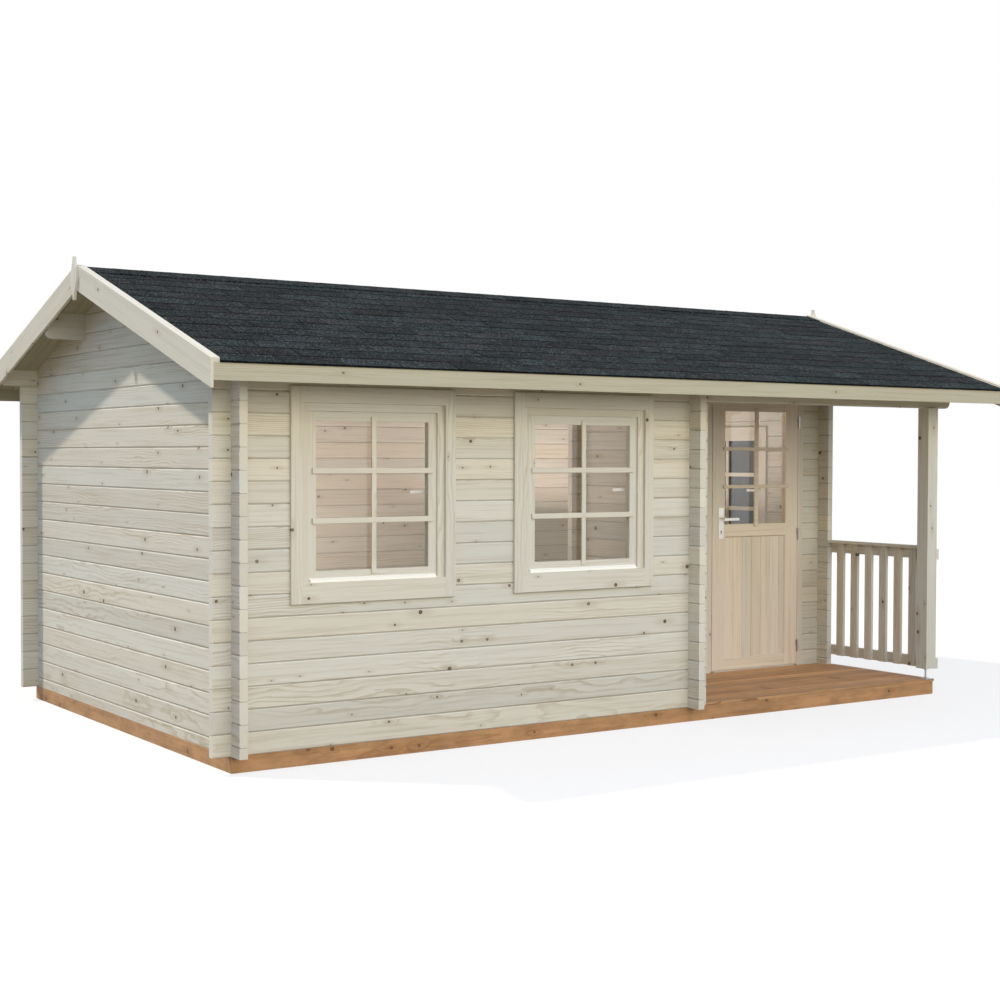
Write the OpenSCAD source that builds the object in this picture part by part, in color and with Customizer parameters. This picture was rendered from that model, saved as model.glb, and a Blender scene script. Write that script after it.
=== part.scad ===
// Log cabin with one L-shaped room, a covered corner terrace and a shingled saddle roof.
// The modules work from the front left outer wall corner at ground level:
// x runs along the ridge to the right, y runs from front to rear, z runs up.

/* [Log walls] */
// Length over the outer wall faces, along the ridge
wall_len = 5092; // [4900:1:5400]
// Depth over the outer wall faces
wall_dep = 3020; // [2900:1:3200]
// Thickness of a log
log_t = 44; // [34:1:58]
// Height of one log course
log_h = 114; // [112:1:116]
// How far the logs run past each cross corner
log_end = 100; // [70:1:120]
// Depth of the V groove between two logs
groove_d = 5; // [2:0.5:8]
// Height of the chamfer on each side of that groove
groove_h = 7; // [3:0.5:12]

/* [Base and floor] */
// Height of the treated sleepers under the walls
base_h = 84; // [70:1:100]
// Width of the sleepers
base_w = 70; // [60:1:90]
// Thickness of the floor boards and deck boards
deck_t = 16; // [14:1:22]
// Number of joists under the room
joist_count = 6; // [4:1:8]

/* [Terrace] */
// Clear length of the terrace from the side wall to the right end
terrace_len = 2095; // [1900:1:2300]
// Clear depth of the terrace from the front face to the door wall
terrace_dep = 1040; // [1000:1:1200]
// Number of deck boards
deck_boards = 9; // [7:1:10]
// Gap between two deck boards
deck_gap = 5; // [3:1:8]
// How far the deck boards stand out past the right sleeper
deck_over = 12; // [0:1:25]
// Side of the square corner post
post_w = 90; // [80:1:110]
// Height of the steel foot that lifts the post off the deck
post_foot_h = 73; // [50:1:90]
// Radius of the threaded rod in the post foot
post_rod_r = 6; // [5:0.5:10]
// Height of a railing rail
rail_h = 70; // [50:1:90]
// Thickness of the rails and balusters
rail_t = 22; // [18:1:30]
// Height of the lower rail above the deck
rail_low = 70; // [50:1:120]
// Height of the top of the upper rail above the deck
rail_high = 870; // [800:1:950]
// Number of balusters
baluster_count = 6; // [5:1:7]
// Width of a baluster
baluster_w = 62; // [50:1:90]
// Width of the board on top of the railing
rail_cap_w = 66; // [60:1:80]
// Thickness of the board on top of the railing
rail_cap_t = 18; // [14:1:24]

/* [Roof] */
// Height of the shingled ridge above the ground
ridge_h = 2634; // [2620:1:2700]
// Rise of the roof for each unit of run
roof_slope = 0.33; // [0.32:0.005:0.345]
// Distance from the left gable wall to the face of its barge boards
over_left = 254; // [245:1:320]
// Distance from the right gable wall to the face of its barge boards
over_right = 348; // [245:1:400]
// Distance from the front and rear wall faces to the face of the fascias
over_eave = 330; // [300:1:380]
// Thickness of the roof boards
board_t = 19; // [16:1:22]
// Thickness of the shingle layer
shingle_t = 6; // [4:1:8]
// Thickness of the barge boards, fascias and finials
trim_t = 16; // [14:1:22]
// Upright height of a barge board
barge_h = 142; // [120:1:160]
// Width of the edge boards that lie beside the shingles
edge_w = 32; // [24:1:60]
// Thickness of the edge boards
edge_t = 20; // [16:1:24]
// Height of the lower edge of the fascias
fascia_z = 1935; // [1915:1:1950]
// Width of a purlin
purlin_w = 60; // [44:1:80]
// Distance of each purlin's middle from the ridge
purlin_off = 590; // [540:1:640]
// Height of the lower edge of the purlins
purlin_z = 2270; // [2240:1:2300]
// How far the purlins and top logs run past the left gable wall
beam_left = 230; // [180:1:240]
// How far the purlins and top logs run past the right gable wall
beam_right = 140; // [120:1:240]
// Radius of the rounded lower corner on the ends of the purlins and top logs
beam_round = 42; // [20:1:50]
// Height of a gable finial
finial_h = 242; // [200:1:250]
// How far a finial stands above the roof edge
finial_rise = 43; // [30:1:60]
// Width of a finial at its middle
finial_w = 90; // [70:1:110]
// Width of a finial at its ends
finial_tip_w = 18; // [12:1:30]

/* [Windows] */
// Width over a window's outer casing
casing_w = 980; // [940:1:1000]
// Height of the lower edge of the casing above the ground, in the front wall
casing_z = 827; // [820:1:850]
// Height over the casing
casing_h = 1106; // [1080:1:1106]
// Width of the casing at the sides
casing_side = 62; // [56:1:80]
// Width of the casing at the bottom
casing_low = 105; // [90:1:115]
// Width of the casing at the top
casing_high = 82; // [76:1:100]
// Thickness of the casing boards
casing_t = 18; // [14:1:24]
// Width of the glass
pane_w = 672; // [600:1:680]
// Height of the lower edge of the glass above the casing's lower edge
pane_z = 164; // [160:1:180]
// Height of the glass
pane_h = 769; // [700:1:770]
// Width of the sash bars around the glass
sash_w = 50; // [45:1:56]
// Width of the window frame outside the sash
jamb_w = 52; // [44:1:60]
// Depth of the window frame
jamb_dep = 60; // [50:1:80]
// Middle of the first front window from the left wall face
window_1_x = 812; // [760:1:860]
// Middle of the second front window from the left wall face
window_2_x = 2178; // [2100:1:2220]
// Middle of the gable window from the front wall face
gable_window_y = 2010; // [1900:1:2080]

/* [Door] */
// Width of the door leaf
leaf_w = 792; // [760:1:820]
// Thickness of the door leaf
leaf_t = 44; // [40:1:50]
// Left edge of the door leaf from the left wall face
leaf_x = 4034; // [4000:1:4060]
// Height of the lower edge of the leaf above the ground
leaf_z = 112; // [108:1:125]
// Height of the door leaf
leaf_h = 1866; // [1800:1:1868]
// Gap around the leaf
leaf_gap = 6; // [5:1:8]
// Width of the door frame at the sides
door_jamb_w = 48; // [40:1:60]
// Depth of the door frame
door_jamb_dep = 70; // [65:1:90]
// How far the frame and leaf stand in front of the door wall
door_proud = 18; // [12:1:30]
// Width of the stiles beside the glass and the panel
stile_w = 112; // [100:1:130]
// Height of the bottom rail
bottom_rail_h = 70; // [60:1:120]
// Height of the boarded panel
panel_h = 852; // [800:1:900]
// Height of the rail between panel and glass
mid_rail_h = 82; // [70:1:100]
// Height of the door glass
door_pane_h = 780; // [700:1:790]
// Thickness of the boarded panel
panel_t = 22; // [16:1:28]
// Radius of a hinge barrel
hinge_r = 8; // [7:0.5:9]
// Radius of a hinge pin
pin_r = 4; // [3:0.5:5]
// Running clearance around the hinge pins and the lever necks
running_gap = 0.05; // [0.02:0.01:0.1]
// Height of a hinge
hinge_h = 80; // [60:1:100]
// Height of the lever above the ground
lever_z = 1153; // [1100:1:1200]
// Distance of the lever spindle from the free edge of the leaf
lever_in = 76; // [65:1:85]
// Length of the lever grip from its spindle
lever_len = 122; // [100:1:150]
// Radius of the lever neck
neck_r = 9; // [7:0.5:11]
// How far the lever stands out from the leaf
lever_out = 55; // [45:1:65]

/* [Hidden] */
$fn = 48;
// Extra length on cutting tools
cut = 2;
// Gap between solids of one node that would otherwise meet
parting = 0.5;
// Thickness of a glass pane
glass_t = 6;
// Depth of the frame and sash faces behind the wall face
sash_in = 12;
// Depth of a sash bar
sash_dep = 40;
// Thickness of a hinge plate and a lock plate
plate_t = 4;
// Length of a hinge plate beside its barrel
hinge_plate = 14;
// Heights of the hinges above the lower edge of the leaf
hinge_rises = [91, 885, 1676];
// Clearance between the two barrels of a hinge
barrel_gap = 1;
// Width, height and corner radius of a lock plate, and its height above its middle
lock_w = 45;
lock_h = 213;
lock_corner = 6;
lock_rise = -28;
// Half height and thickness of the lever grip
grip_r = 9;
grip_t = 12;
// Radius of the boss where the grip meets its neck
boss_r = 11;
// Radius of the square spindle's way through the leaf
spindle_r = 5;
spindle_bore_r = 12;
// Size of the door stop: its reach over the leaf and its gap behind it
stop_reach = 15;
stop_gap = 5;
// Width of a ridge shingle on each slope
ridge_shingle_w = 130;
// Shingle overhang past the fascia
drip = 6;
// Room around the walls for the floor boards to move
floor_gap = 5;
// Thickness and half width of the post foot's plate
foot_plate_t = 4;
foot_plate_half = 30;
// Number of steps along a finial's curved edge
finial_steps = 24;

x_mid = (wall_len + over_right - over_left) / 2;
y_mid = wall_dep / 2;
slope_k = sqrt(1 + roof_slope * roof_slope);
board_v = board_t * slope_k;
shingle_v = shingle_t * slope_k;
edge_v = edge_t * slope_k;
ridge_under = ridge_h - shingle_v - board_v;

side_x = wall_len - terrace_len - log_t;
right_x = wall_len - log_t;
door_y = terrace_dep;
rear_y = wall_dep - log_t;
deck_z = base_h + deck_t;
// The post stands centred under the front beam
post_y = (log_t - post_w) / 2;

// Courses of the walls that end at a level joint
front_courses = 16;
plate_course = 17;
wall_courses = 23;
beam_z = base_h + front_courses * log_h;
plate_z = base_h + plate_course * log_h;
gable_top_z = base_h + (front_courses + 0.5) * log_h;

// Outer half width of the window frame, and its heights above the casing's lower edge
frame_half = pane_w / 2 + sash_w + jamb_w;
frame_z0 = pane_z - sash_w - jamb_w;
frame_z1 = pane_z + pane_h + sash_w + jamb_w;

frame_y = door_y - door_proud;
leaf_y = frame_y;
opening_x0 = leaf_x - leaf_gap - door_jamb_w;
opening_x1 = leaf_x + leaf_w + leaf_gap + door_jamb_w;
hinge_x = leaf_x + leaf_w + leaf_gap;
hinge_y = leaf_y - plate_t - hinge_r + plate_t / 2;
hinge_zs = [for (rise = hinge_rises) leaf_z + rise];
panel_z = leaf_z + bottom_rail_h;
door_pane_z = panel_z + panel_h + mid_rail_h;
lever_x = leaf_x + lever_in;

spruce = "#e4d9c2";
pine = "#e3bf9c";
treated = "#b07a4a";
slate = "#2b3238";
clear = [0.85, 0.8, 0.75, 0.4];
metal = "#b9bcc0";

// Height of the underside of the roof boards at depth y
function roof_under(y) = ridge_under - roof_slope * abs(y - y_mid);

// Half width of a finial at share s of its height from the middle
function finial_half(s) = (finial_tip_w + (finial_w - finial_tip_w) * (0.5 + 0.5 * cos(180 * s))) / 2;

// Moves the middle of the plan to the origin
module centred() {
    translate([-x_mid, -y_mid, 0]) children();
}

// The rear half of the cabin as a mirror image of the front half
module at_rear() {
    translate([0, wall_dep, 0]) mirror([0, 1, 0]) children();
}

// The right roof edge as a mirror image of the left one
module at_right() {
    translate([2 * x_mid, 0, 0]) mirror([1, 0, 0]) children();
}

// Box from one corner to the opposite one
module block(low, high) {
    translate(low) cube(high - low);
}

// Outline in y and z drawn out along x
module along_x(x0, x1) {
    translate([x0, 0, 0]) rotate([90, 0, 90]) linear_extrude(x1 - x0) children();
}

// Outline in x and z drawn out along y
module along_y(y0, y1) {
    translate([0, y1, 0]) rotate([90, 0, 0]) linear_extrude(y1 - y0) children();
}

// Section of a stack of logs with a V groove at each joint
module log_stack(face, z_first, courses) {
    far = face + log_t;
    z_last = z_first + courses * log_h;
    near_side = [for (i = [0:courses - 1]) let (z = z_first + i * log_h)
        each [[face + groove_d, z], [face, z + groove_h], [face, z + log_h - groove_h]]];
    far_side = [for (i = [courses - 1:-1:0]) let (z = z_first + i * log_h)
        each [[far, z + log_h - groove_h], [far, z + groove_h], [far - groove_d, z]]];
    polygon(concat(near_side, [[face + groove_d, z_last], [far - groove_d, z_last]], far_side));
}

// Space between two heights, kept under the roof boards
module under_roof(z0, z1) {
    reach = over_eave;
    along_x(-over_left, wall_len + over_right)
        intersection() {
            polygon([
                [-reach, base_h], [-reach, roof_under(-reach)], [y_mid, ridge_under],
                [wall_dep + reach, roof_under(-reach)], [wall_dep + reach, base_h]
            ]);
            translate([-reach, z0]) square([wall_dep + 2 * reach, z1 - z0]);
        }
}

// Cogs cut from a long wall where the cross wall at x passes through it
module long_wall_cogs(x, y, first, last) {
    for (i = [first:last])
        translate([x, y - cut, base_h + (i - 0.25) * log_h])
            cube([log_t, log_t + 2 * cut, log_h / 2]);
}

// Cogs cut from a cross wall where the long wall at y passes through it
module cross_wall_cogs(x, y, first, last) {
    for (i = [first:last])
        translate([x - cut, y, base_h + (i + 0.25) * log_h])
            cube([log_t + 2 * cut, log_t, log_h / 2]);
}

// Long wall: logs along x between two heights, with a sloping top where the roof cuts it
module long_wall(x0, x1, y, first, last, z_top) {
    intersection() {
        along_x(x0, x1) log_stack(y, base_h + first * log_h, last - first);
        under_roof(base_h + first * log_h, z_top);
    }
}

// Cross wall: logs along y that start with half a log
module cross_wall(x, y0, y1, z_low, z_top) {
    intersection() {
        along_y(y0, y1) log_stack(x, base_h - log_h / 2, wall_courses);
        under_roof(z_low, z_top);
    }
}

// Outline that takes the lower right corner off a log end
module end_rounding(x, z) {
    difference() {
        translate([x - beam_round, z - cut]) square([beam_round + cut, beam_round + cut]);
        translate([x - beam_round, z + beam_round]) circle(beam_round);
    }
}

// Tool that rounds the lower corner of a log or purlin end on the right
module rounded_right_end(z, y0, y1) {
    along_y(y0 - cut, y1 + cut) end_rounding(wall_len + beam_right, z);
}

// Tool that rounds the lower corner of a log or purlin end on the left
module rounded_left_end(z, y0, y1) {
    along_y(y0 - cut, y1 + cut) mirror([1, 0]) end_rounding(beam_left, z);
}

// Room that the purlins take in the gable and side walls
module purlin_room() {
    for (side = [-1, 1])
        translate([-beam_left - cut, y_mid + side * purlin_off - purlin_w / 2, purlin_z])
            cube([wall_len + beam_left + beam_right + 2 * cut, purlin_w, ridge_h - purlin_z]);
}

// Sloping layer on the front roof half, between two heights above the boards' underside
module slope_layer(x0, x1, y_eave, low, high, y_top) {
    along_x(x0, x1)
        polygon([
            [y_eave, roof_under(y_eave) + low], [y_top, roof_under(y_top) + low],
            [y_top, roof_under(y_top) + high], [y_eave, roof_under(y_eave) + high]
        ]);
}

// Upright ring around an opening, with its front face at depth y0
module ring(half, z0, z1, side, low, high, y0, y1) {
    along_y(y0, y1)
        difference() {
            translate([-half, z0]) square([2 * half, z1 - z0]);
            translate([-half + side, z0 + low]) square([2 * (half - side), z1 - z0 - low - high]);
        }
}

// Places a window in each of its walls: two in front and one, half a course lower, in the right gable
module each_window() {
    translate([window_1_x, 0, casing_z]) children();
    translate([window_2_x, 0, casing_z]) children();
    translate([wall_len, gable_window_y, casing_z - log_h / 2]) rotate([0, 0, 90]) children();
}

// Hole for a window frame through a wall
module window_hole() {
    block([-frame_half, -cut, frame_z0], [frame_half, log_t + cut, frame_z1]);
}

module base_front_beam() {
    color(treated) block([0, 0, 0], [wall_len, base_w, base_h]);
}

module base_rear_beam() {
    color(treated) block([0, wall_dep - base_w, 0], [wall_len, wall_dep, base_h]);
}

module base_left_beam() {
    color(treated) block([0, base_w, 0], [base_w, wall_dep - base_w, base_h]);
}

module base_right_beam() {
    color(treated) block([wall_len - base_w, base_w, 0], [wall_len, wall_dep - base_w, base_h]);
}

// Joists from front to rear, with one under the side wall and the sleeper under the door wall
module floor_joists() {
    joist_step = (side_x - base_w) / joist_count;
    side_joist_x = side_x + log_t / 2 - base_w / 2;
    sleeper_x0 = side_joist_x + base_w + parting;
    color(treated) {
        for (i = [1:joist_count - 1])
            block([i * joist_step, base_w, 0], [i * joist_step + base_w, wall_dep - base_w, base_h]);
        block([side_joist_x, base_w, 0], [side_joist_x + base_w, wall_dep - base_w, base_h]);
        block([sleeper_x0, door_y - base_w / 2, 0], [wall_len - base_w, door_y + base_w, base_h]);
        for (share = [1 / 3, 2 / 3])
            let (x = sleeper_x0 + share * (wall_len - base_w - sleeper_x0))
                block([x, door_y + base_w + parting, 0], [x + base_w, wall_dep - base_w, base_h]);
    }
}

// Floor boards of the two parts of the room, let in around the log ends
module room_floor() {
    stub_room = log_end + floor_gap;
    color(treated) translate([0, 0, base_h]) linear_extrude(deck_t) difference() {
        union() {
            translate([log_t + floor_gap, log_t + floor_gap])
                square([side_x - parting - log_t - floor_gap, wall_dep - 2 * (log_t + floor_gap)]);
            translate([side_x + parting, door_y + log_t + floor_gap])
                square([right_x - floor_gap - side_x - parting,
                    rear_y - door_y - log_t - 2 * floor_gap]);
        }
        translate([side_x - stub_room, door_y - floor_gap])
            square([stub_room + cut, log_t + 2 * floor_gap]);
        translate([side_x - floor_gap, 0])
            square([log_t + 2 * floor_gap, door_y + log_t + stub_room]);
        translate([opening_x0 - floor_gap, 0])
            square([opening_x1 - opening_x0 + 2 * floor_gap, frame_y + door_jamb_dep + floor_gap]);
    }
}

// Deck boards along the terrace, cut around the log ends
module terrace_deck() {
    pitch = (frame_y - cut + deck_gap) / deck_boards;
    color(treated) difference() {
        for (i = [0:deck_boards - 1])
            block([side_x + log_t + cut, i * pitch, base_h],
                [wall_len + deck_over, (i + 1) * pitch - deck_gap, deck_z]);
        block([side_x, -cut, 0], [side_x + log_t + log_end + cut, log_t + cut, ridge_h]);
        block([right_x - cut, door_y - log_end - cut, 0], [wall_len + over_right, door_y, ridge_h]);
    }
}

module front_wall() {
    color(spruce) difference() {
        long_wall(-log_end, side_x + log_t + log_end, 0, 0, front_courses, beam_z);
        long_wall_cogs(0, 0, 0, front_courses);
        long_wall_cogs(side_x, 0, 0, front_courses);
        for (x = [window_1_x, window_2_x]) translate([x, 0, casing_z]) window_hole();
    }
}

module rear_wall() {
    color(spruce) difference() {
        long_wall(-log_end, wall_len + log_end, rear_y, 0, plate_course, plate_z);
        long_wall_cogs(0, rear_y, 0, plate_course);
        long_wall_cogs(right_x, rear_y, 0, plate_course);
    }
}

module left_gable_wall() {
    color(spruce) difference() {
        cross_wall(0, -log_end, wall_dep + log_end, base_h, ridge_h);
        cross_wall_cogs(0, 0, 0, plate_course);
        cross_wall_cogs(0, rear_y, 0, plate_course);
        purlin_room();
    }
}

// Right gable beside the room, up to the joint where the logs over the terrace start
module right_gable_wall() {
    color(spruce) difference() {
        cross_wall(right_x, door_y - log_end, wall_dep + log_end, base_h, gable_top_z);
        cross_wall_cogs(right_x, door_y, 0, front_courses);
        cross_wall_cogs(right_x, rear_y, 0, front_courses);
        translate([wall_len, gable_window_y, casing_z - log_h / 2]) rotate([0, 0, 90]) window_hole();
    }
}

module right_gable_top() {
    color(spruce) difference() {
        cross_wall(right_x, -log_end, wall_dep + log_end, gable_top_z, ridge_h);
        cross_wall_cogs(right_x, 0, front_courses, plate_course);
        cross_wall_cogs(right_x, door_y, front_courses, wall_courses);
        cross_wall_cogs(right_x, rear_y, front_courses, plate_course);
        purlin_room();
    }
}

module terrace_side_wall() {
    color(spruce) difference() {
        cross_wall(side_x, -log_end, door_y + log_t + log_end, base_h, ridge_h);
        cross_wall_cogs(side_x, 0, 0, plate_course);
        cross_wall_cogs(side_x, door_y, 0, wall_courses);
        purlin_room();
    }
}

module door_wall_left() {
    color(spruce) difference() {
        long_wall(side_x - log_end, opening_x0, door_y, 0, plate_course, plate_z);
        long_wall_cogs(side_x, door_y, 0, plate_course);
    }
}

module door_wall_right() {
    color(spruce) difference() {
        long_wall(opening_x1, wall_len + log_end, door_y, 0, plate_course, plate_z);
        long_wall_cogs(right_x, door_y, 0, plate_course);
    }
}

module door_wall_top() {
    color(spruce) difference() {
        long_wall(side_x - log_end, wall_len + log_end, door_y, plate_course, wall_courses, ridge_h);
        long_wall_cogs(side_x, door_y, plate_course, wall_courses);
        long_wall_cogs(right_x, door_y, plate_course, wall_courses);
    }
}

// The two top logs of the front wall, which carry the roof over the terrace
module front_beam() {
    color(spruce) difference() {
        long_wall(-beam_left, wall_len + beam_right, 0, front_courses, plate_course + 1, ridge_h);
        block([-beam_left - cut, -cut, beam_z - cut], [-log_end, log_t + cut, plate_z]);
        rounded_left_end(plate_z, 0, log_t);
        rounded_right_end(beam_z, 0, log_t);
        for (x = [0, side_x]) long_wall_cogs(x, 0, front_courses, plate_course + 1);
        long_wall_cogs(right_x, 0, plate_course, plate_course + 1);
    }
}

module rear_top_log() {
    color(spruce) difference() {
        long_wall(-beam_left, wall_len + beam_right, rear_y, plate_course, plate_course + 1, ridge_h);
        rounded_left_end(plate_z, rear_y, wall_dep);
        rounded_right_end(plate_z, rear_y, wall_dep);
        for (x = [0, right_x]) long_wall_cogs(x, rear_y, plate_course, plate_course + 1);
    }
}

module roof_purlins() {
    color(spruce) difference() {
        intersection() {
            for (side = [-1, 1])
                let (y = y_mid + side * purlin_off)
                    block([-beam_left, y - purlin_w / 2, purlin_z],
                        [wall_len + beam_right, y + purlin_w / 2, ridge_h]);
            under_roof(base_h, ridge_h);
        }
        rounded_left_end(purlin_z, 0, wall_dep);
        rounded_right_end(purlin_z, 0, wall_dep);
    }
}

// Boards of one roof half, from the ridge to the back of the fascia
module roof_boards() {
    slope_layer(-over_left + trim_t, wall_len + over_right - trim_t, -over_eave + trim_t, 0, board_v, y_mid);
}

module roof_boards_front() {
    color(spruce) roof_boards();
}

module roof_boards_rear() {
    color(spruce) at_rear() roof_boards();
}

// Shingle layer of one roof half, between the edge boards
module shingles() {
    slope_layer(-over_left + trim_t + edge_w, wall_len + over_right - trim_t - edge_w,
        -over_eave - drip, board_v, board_v + shingle_v, y_mid);
}

module shingles_front() {
    color(slate) shingles();
}

module shingles_rear() {
    color(slate) at_rear() shingles();
}

// Bent shingles over the ridge
module ridge_shingles() {
    y0 = y_mid - ridge_shingle_w;
    low = board_v + shingle_v;
    high = low + shingle_v;
    color(slate)
        along_x(-over_left + trim_t + edge_w, wall_len + over_right - trim_t - edge_w)
            polygon([
                [y0, roof_under(y0) + low], [y_mid, ridge_under + low],
                [wall_dep - y0, roof_under(y0) + low], [wall_dep - y0, roof_under(y0) + high],
                [y_mid, ridge_under + high], [y0, roof_under(y0) + high]
            ]);
}

// Front fascia, with its top bevelled to the roof
module fascia() {
    y0 = -over_eave;
    y1 = -over_eave + trim_t;
    along_x(-over_left + trim_t, wall_len + over_right - trim_t)
        polygon([[y0, fascia_z], [y1, fascia_z], [y1, roof_under(y1) + board_v],
            [y0, roof_under(y0) + board_v]]);
}

module eave_fascias() {
    color(spruce) {
        fascia();
        at_rear() fascia();
    }
}

// Front barge board of the left gable, cut plumb at the eave and at the ridge
module barge_board() {
    high = board_v + edge_v;
    slope_layer(-over_left, -over_left + trim_t, -over_eave, high - barge_h, high, y_mid - parting);
}

module left_barge_boards() {
    color(spruce) {
        barge_board();
        at_rear() barge_board();
    }
}

module right_barge_boards() {
    color(spruce) at_right() {
        barge_board();
        at_rear() barge_board();
    }
}

// Board that lies on the roof edge between the barge board and the shingles
module edge_cap() {
    slope_layer(-over_left + trim_t, -over_left + trim_t + edge_w, -over_eave, board_v, board_v + edge_v,
        y_mid - parting);
}

module edge_caps() {
    color(spruce) {
        edge_cap();
        at_rear() edge_cap();
        at_right() {
            edge_cap();
            at_rear() edge_cap();
        }
    }
}

// Flat board with waisted ends on the joint of the barge boards
module finial() {
    top = ridge_under + board_v + edge_v + finial_rise;
    shares = [for (i = [0:finial_steps]) 2 * i / finial_steps - 1];
    along_x(-over_left - trim_t, -over_left)
        translate([y_mid, top - finial_h / 2])
            polygon(concat(
                [for (s = shares) [finial_half(s), s * finial_h / 2]],
                [for (s = shares) [-finial_half(s), -s * finial_h / 2]]
            ));
}

module gable_finials() {
    color(spruce) {
        finial();
        at_right() finial();
    }
}

module terrace_post() {
    color(spruce)
        block([wall_len - post_w, post_y, deck_z + post_foot_h], [wall_len, post_y + post_w, beam_z]);
}

// Steel plate on the deck with the threaded rod that carries the post
module post_foot() {
    half = foot_plate_half;
    color(metal) translate([wall_len - post_w / 2, post_y + post_w / 2, deck_z]) {
        block([-half, -half, 0], [half, half, foot_plate_t]);
        cylinder(h = post_foot_h, r = post_rod_r);
    }
}

module railing_rails() {
    color(spruce)
        for (z = [deck_z + rail_low, deck_z + rail_high - rail_h])
            block([wall_len, post_y, z], [wall_len + rail_t, door_y - cut, z + rail_h]);
}

module railing_balusters() {
    y0 = post_y + post_w;
    gap = (door_y - log_end - y0 - baluster_count * baluster_w) / (baluster_count + 1);
    color(spruce)
        for (i = [0:baluster_count - 1])
            let (y = y0 + gap + i * (baluster_w + gap))
                block([wall_len - rail_t, y, deck_z + rail_low],
                    [wall_len, y + baluster_w, deck_z + rail_high]);
}

// Board on top of the railing, from the post to the log ends
module railing_cap() {
    x1 = wall_len + rail_t;
    z0 = deck_z + rail_high;
    color(spruce)
        block([x1 - rail_cap_w, post_y + post_w, z0], [x1, door_y - log_end, z0 + rail_cap_t]);
}

module window_casings() {
    color(spruce) each_window()
        ring(casing_w / 2, 0, casing_h, casing_side, casing_low, casing_high, -casing_t, 0);
}

module window_frames() {
    color(spruce) each_window() ring(frame_half, frame_z0, frame_z1, jamb_w, jamb_w, jamb_w, 0, jamb_dep);
}

module window_sashes() {
    color(spruce) each_window()
        ring(frame_half - jamb_w, frame_z0 + jamb_w, frame_z1 - jamb_w, sash_w, sash_w, sash_w,
            sash_in, sash_in + sash_dep);
}

module window_panes() {
    y0 = sash_in + (sash_dep - glass_t) / 2;
    color(clear) each_window()
        block([-pane_w / 2, y0, pane_z], [pane_w / 2, y0 + glass_t, pane_z + pane_h]);
}

// Door jamb as a section in x and y, with the stop behind the leaf
module jamb_outline() {
    stop_y = leaf_y + leaf_t + stop_gap;
    translate([-door_jamb_w, frame_y]) square([door_jamb_w, door_jamb_dep]);
    translate([-door_jamb_w, stop_y])
        square([door_jamb_w + leaf_gap + stop_reach, frame_y + door_jamb_dep - stop_y]);
}

// Two jambs, a head with its stop and a threshold
module door_frame() {
    x0 = leaf_x - leaf_gap;
    x1 = leaf_x + leaf_w + leaf_gap;
    head_z = leaf_z + leaf_h + leaf_gap;
    stop_y = leaf_y + leaf_t + stop_gap;
    back_y = frame_y + door_jamb_dep;
    inner = leaf_gap + stop_reach + parting;
    color(pine) {
        translate([x0, 0, base_h]) linear_extrude(plate_z - base_h) jamb_outline();
        translate([x1, 0, base_h]) linear_extrude(plate_z - base_h) mirror([1, 0]) jamb_outline();
        difference() {
            block([x0 + parting, frame_y, head_z - inner], [x1 - parting, back_y, plate_z]);
            block([x0 - cut, frame_y - cut, head_z - inner - cut], [x1 + cut, stop_y, head_z]);
            block([x0 - cut, frame_y, head_z - inner - cut], [x0 + inner, back_y + cut, plate_z + cut]);
            block([x1 - inner, frame_y, head_z - inner - cut], [x1 + cut, back_y + cut, plate_z + cut]);
        }
        block([x0 + inner, frame_y, base_h], [x1 - inner, back_y, leaf_z - leaf_gap]);
    }
}

// Lower barrel, pin and plate of each hinge, fixed to the right jamb
module hinge_pins() {
    barrel_h = (hinge_h - barrel_gap) / 2;
    color(metal)
        for (z = hinge_zs) {
            translate([hinge_x, hinge_y, z]) cylinder(h = barrel_h, r = hinge_r);
            translate([hinge_x, hinge_y, z]) cylinder(h = hinge_h - pin_r, r = pin_r);
            block([hinge_x, leaf_y - plate_t, z], [hinge_x + hinge_plate, leaf_y, z + barrel_h]);
        }
}

// Upper barrel and plate of each hinge, fixed to the leaf
module hinge_knuckles() {
    barrel_h = (hinge_h - barrel_gap) / 2;
    color(metal)
        for (z = hinge_zs) difference() {
            translate([0, 0, z + hinge_h - barrel_h]) {
                translate([hinge_x, hinge_y, 0]) cylinder(h = barrel_h, r = hinge_r);
                block([hinge_x - hinge_plate, leaf_y - plate_t, 0], [hinge_x, leaf_y, barrel_h]);
            }
            translate([hinge_x, hinge_y, z])
                cylinder(h = hinge_h - pin_r + barrel_gap, r = pin_r + running_gap);
        }
}

// Stiles and rails of the door, with the hole for the lever spindle
module door_leaf() {
    x1 = leaf_x + leaf_w;
    color(pine) difference() {
        block([leaf_x, leaf_y, leaf_z], [x1, leaf_y + leaf_t, leaf_z + leaf_h]);
        block([leaf_x + stile_w, leaf_y - cut, panel_z],
            [x1 - stile_w, leaf_y + leaf_t + cut, panel_z + panel_h]);
        block([leaf_x + stile_w, leaf_y - cut, door_pane_z],
            [x1 - stile_w, leaf_y + leaf_t + cut, door_pane_z + door_pane_h]);
        translate([lever_x, leaf_y - cut, lever_z])
            rotate([-90, 0, 0]) cylinder(h = leaf_t + 2 * cut, r = spindle_bore_r);
    }
}

module door_panel() {
    y0 = leaf_y + (leaf_t - panel_t) / 2;
    color(pine)
        block([leaf_x + stile_w, y0, panel_z], [leaf_x + leaf_w - stile_w, y0 + panel_t, panel_z + panel_h]);
}

module door_pane() {
    y0 = leaf_y + (leaf_t - glass_t) / 2;
    color(clear)
        block([leaf_x + stile_w, y0, door_pane_z],
            [leaf_x + leaf_w - stile_w, y0 + glass_t, door_pane_z + door_pane_h]);
}

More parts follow.
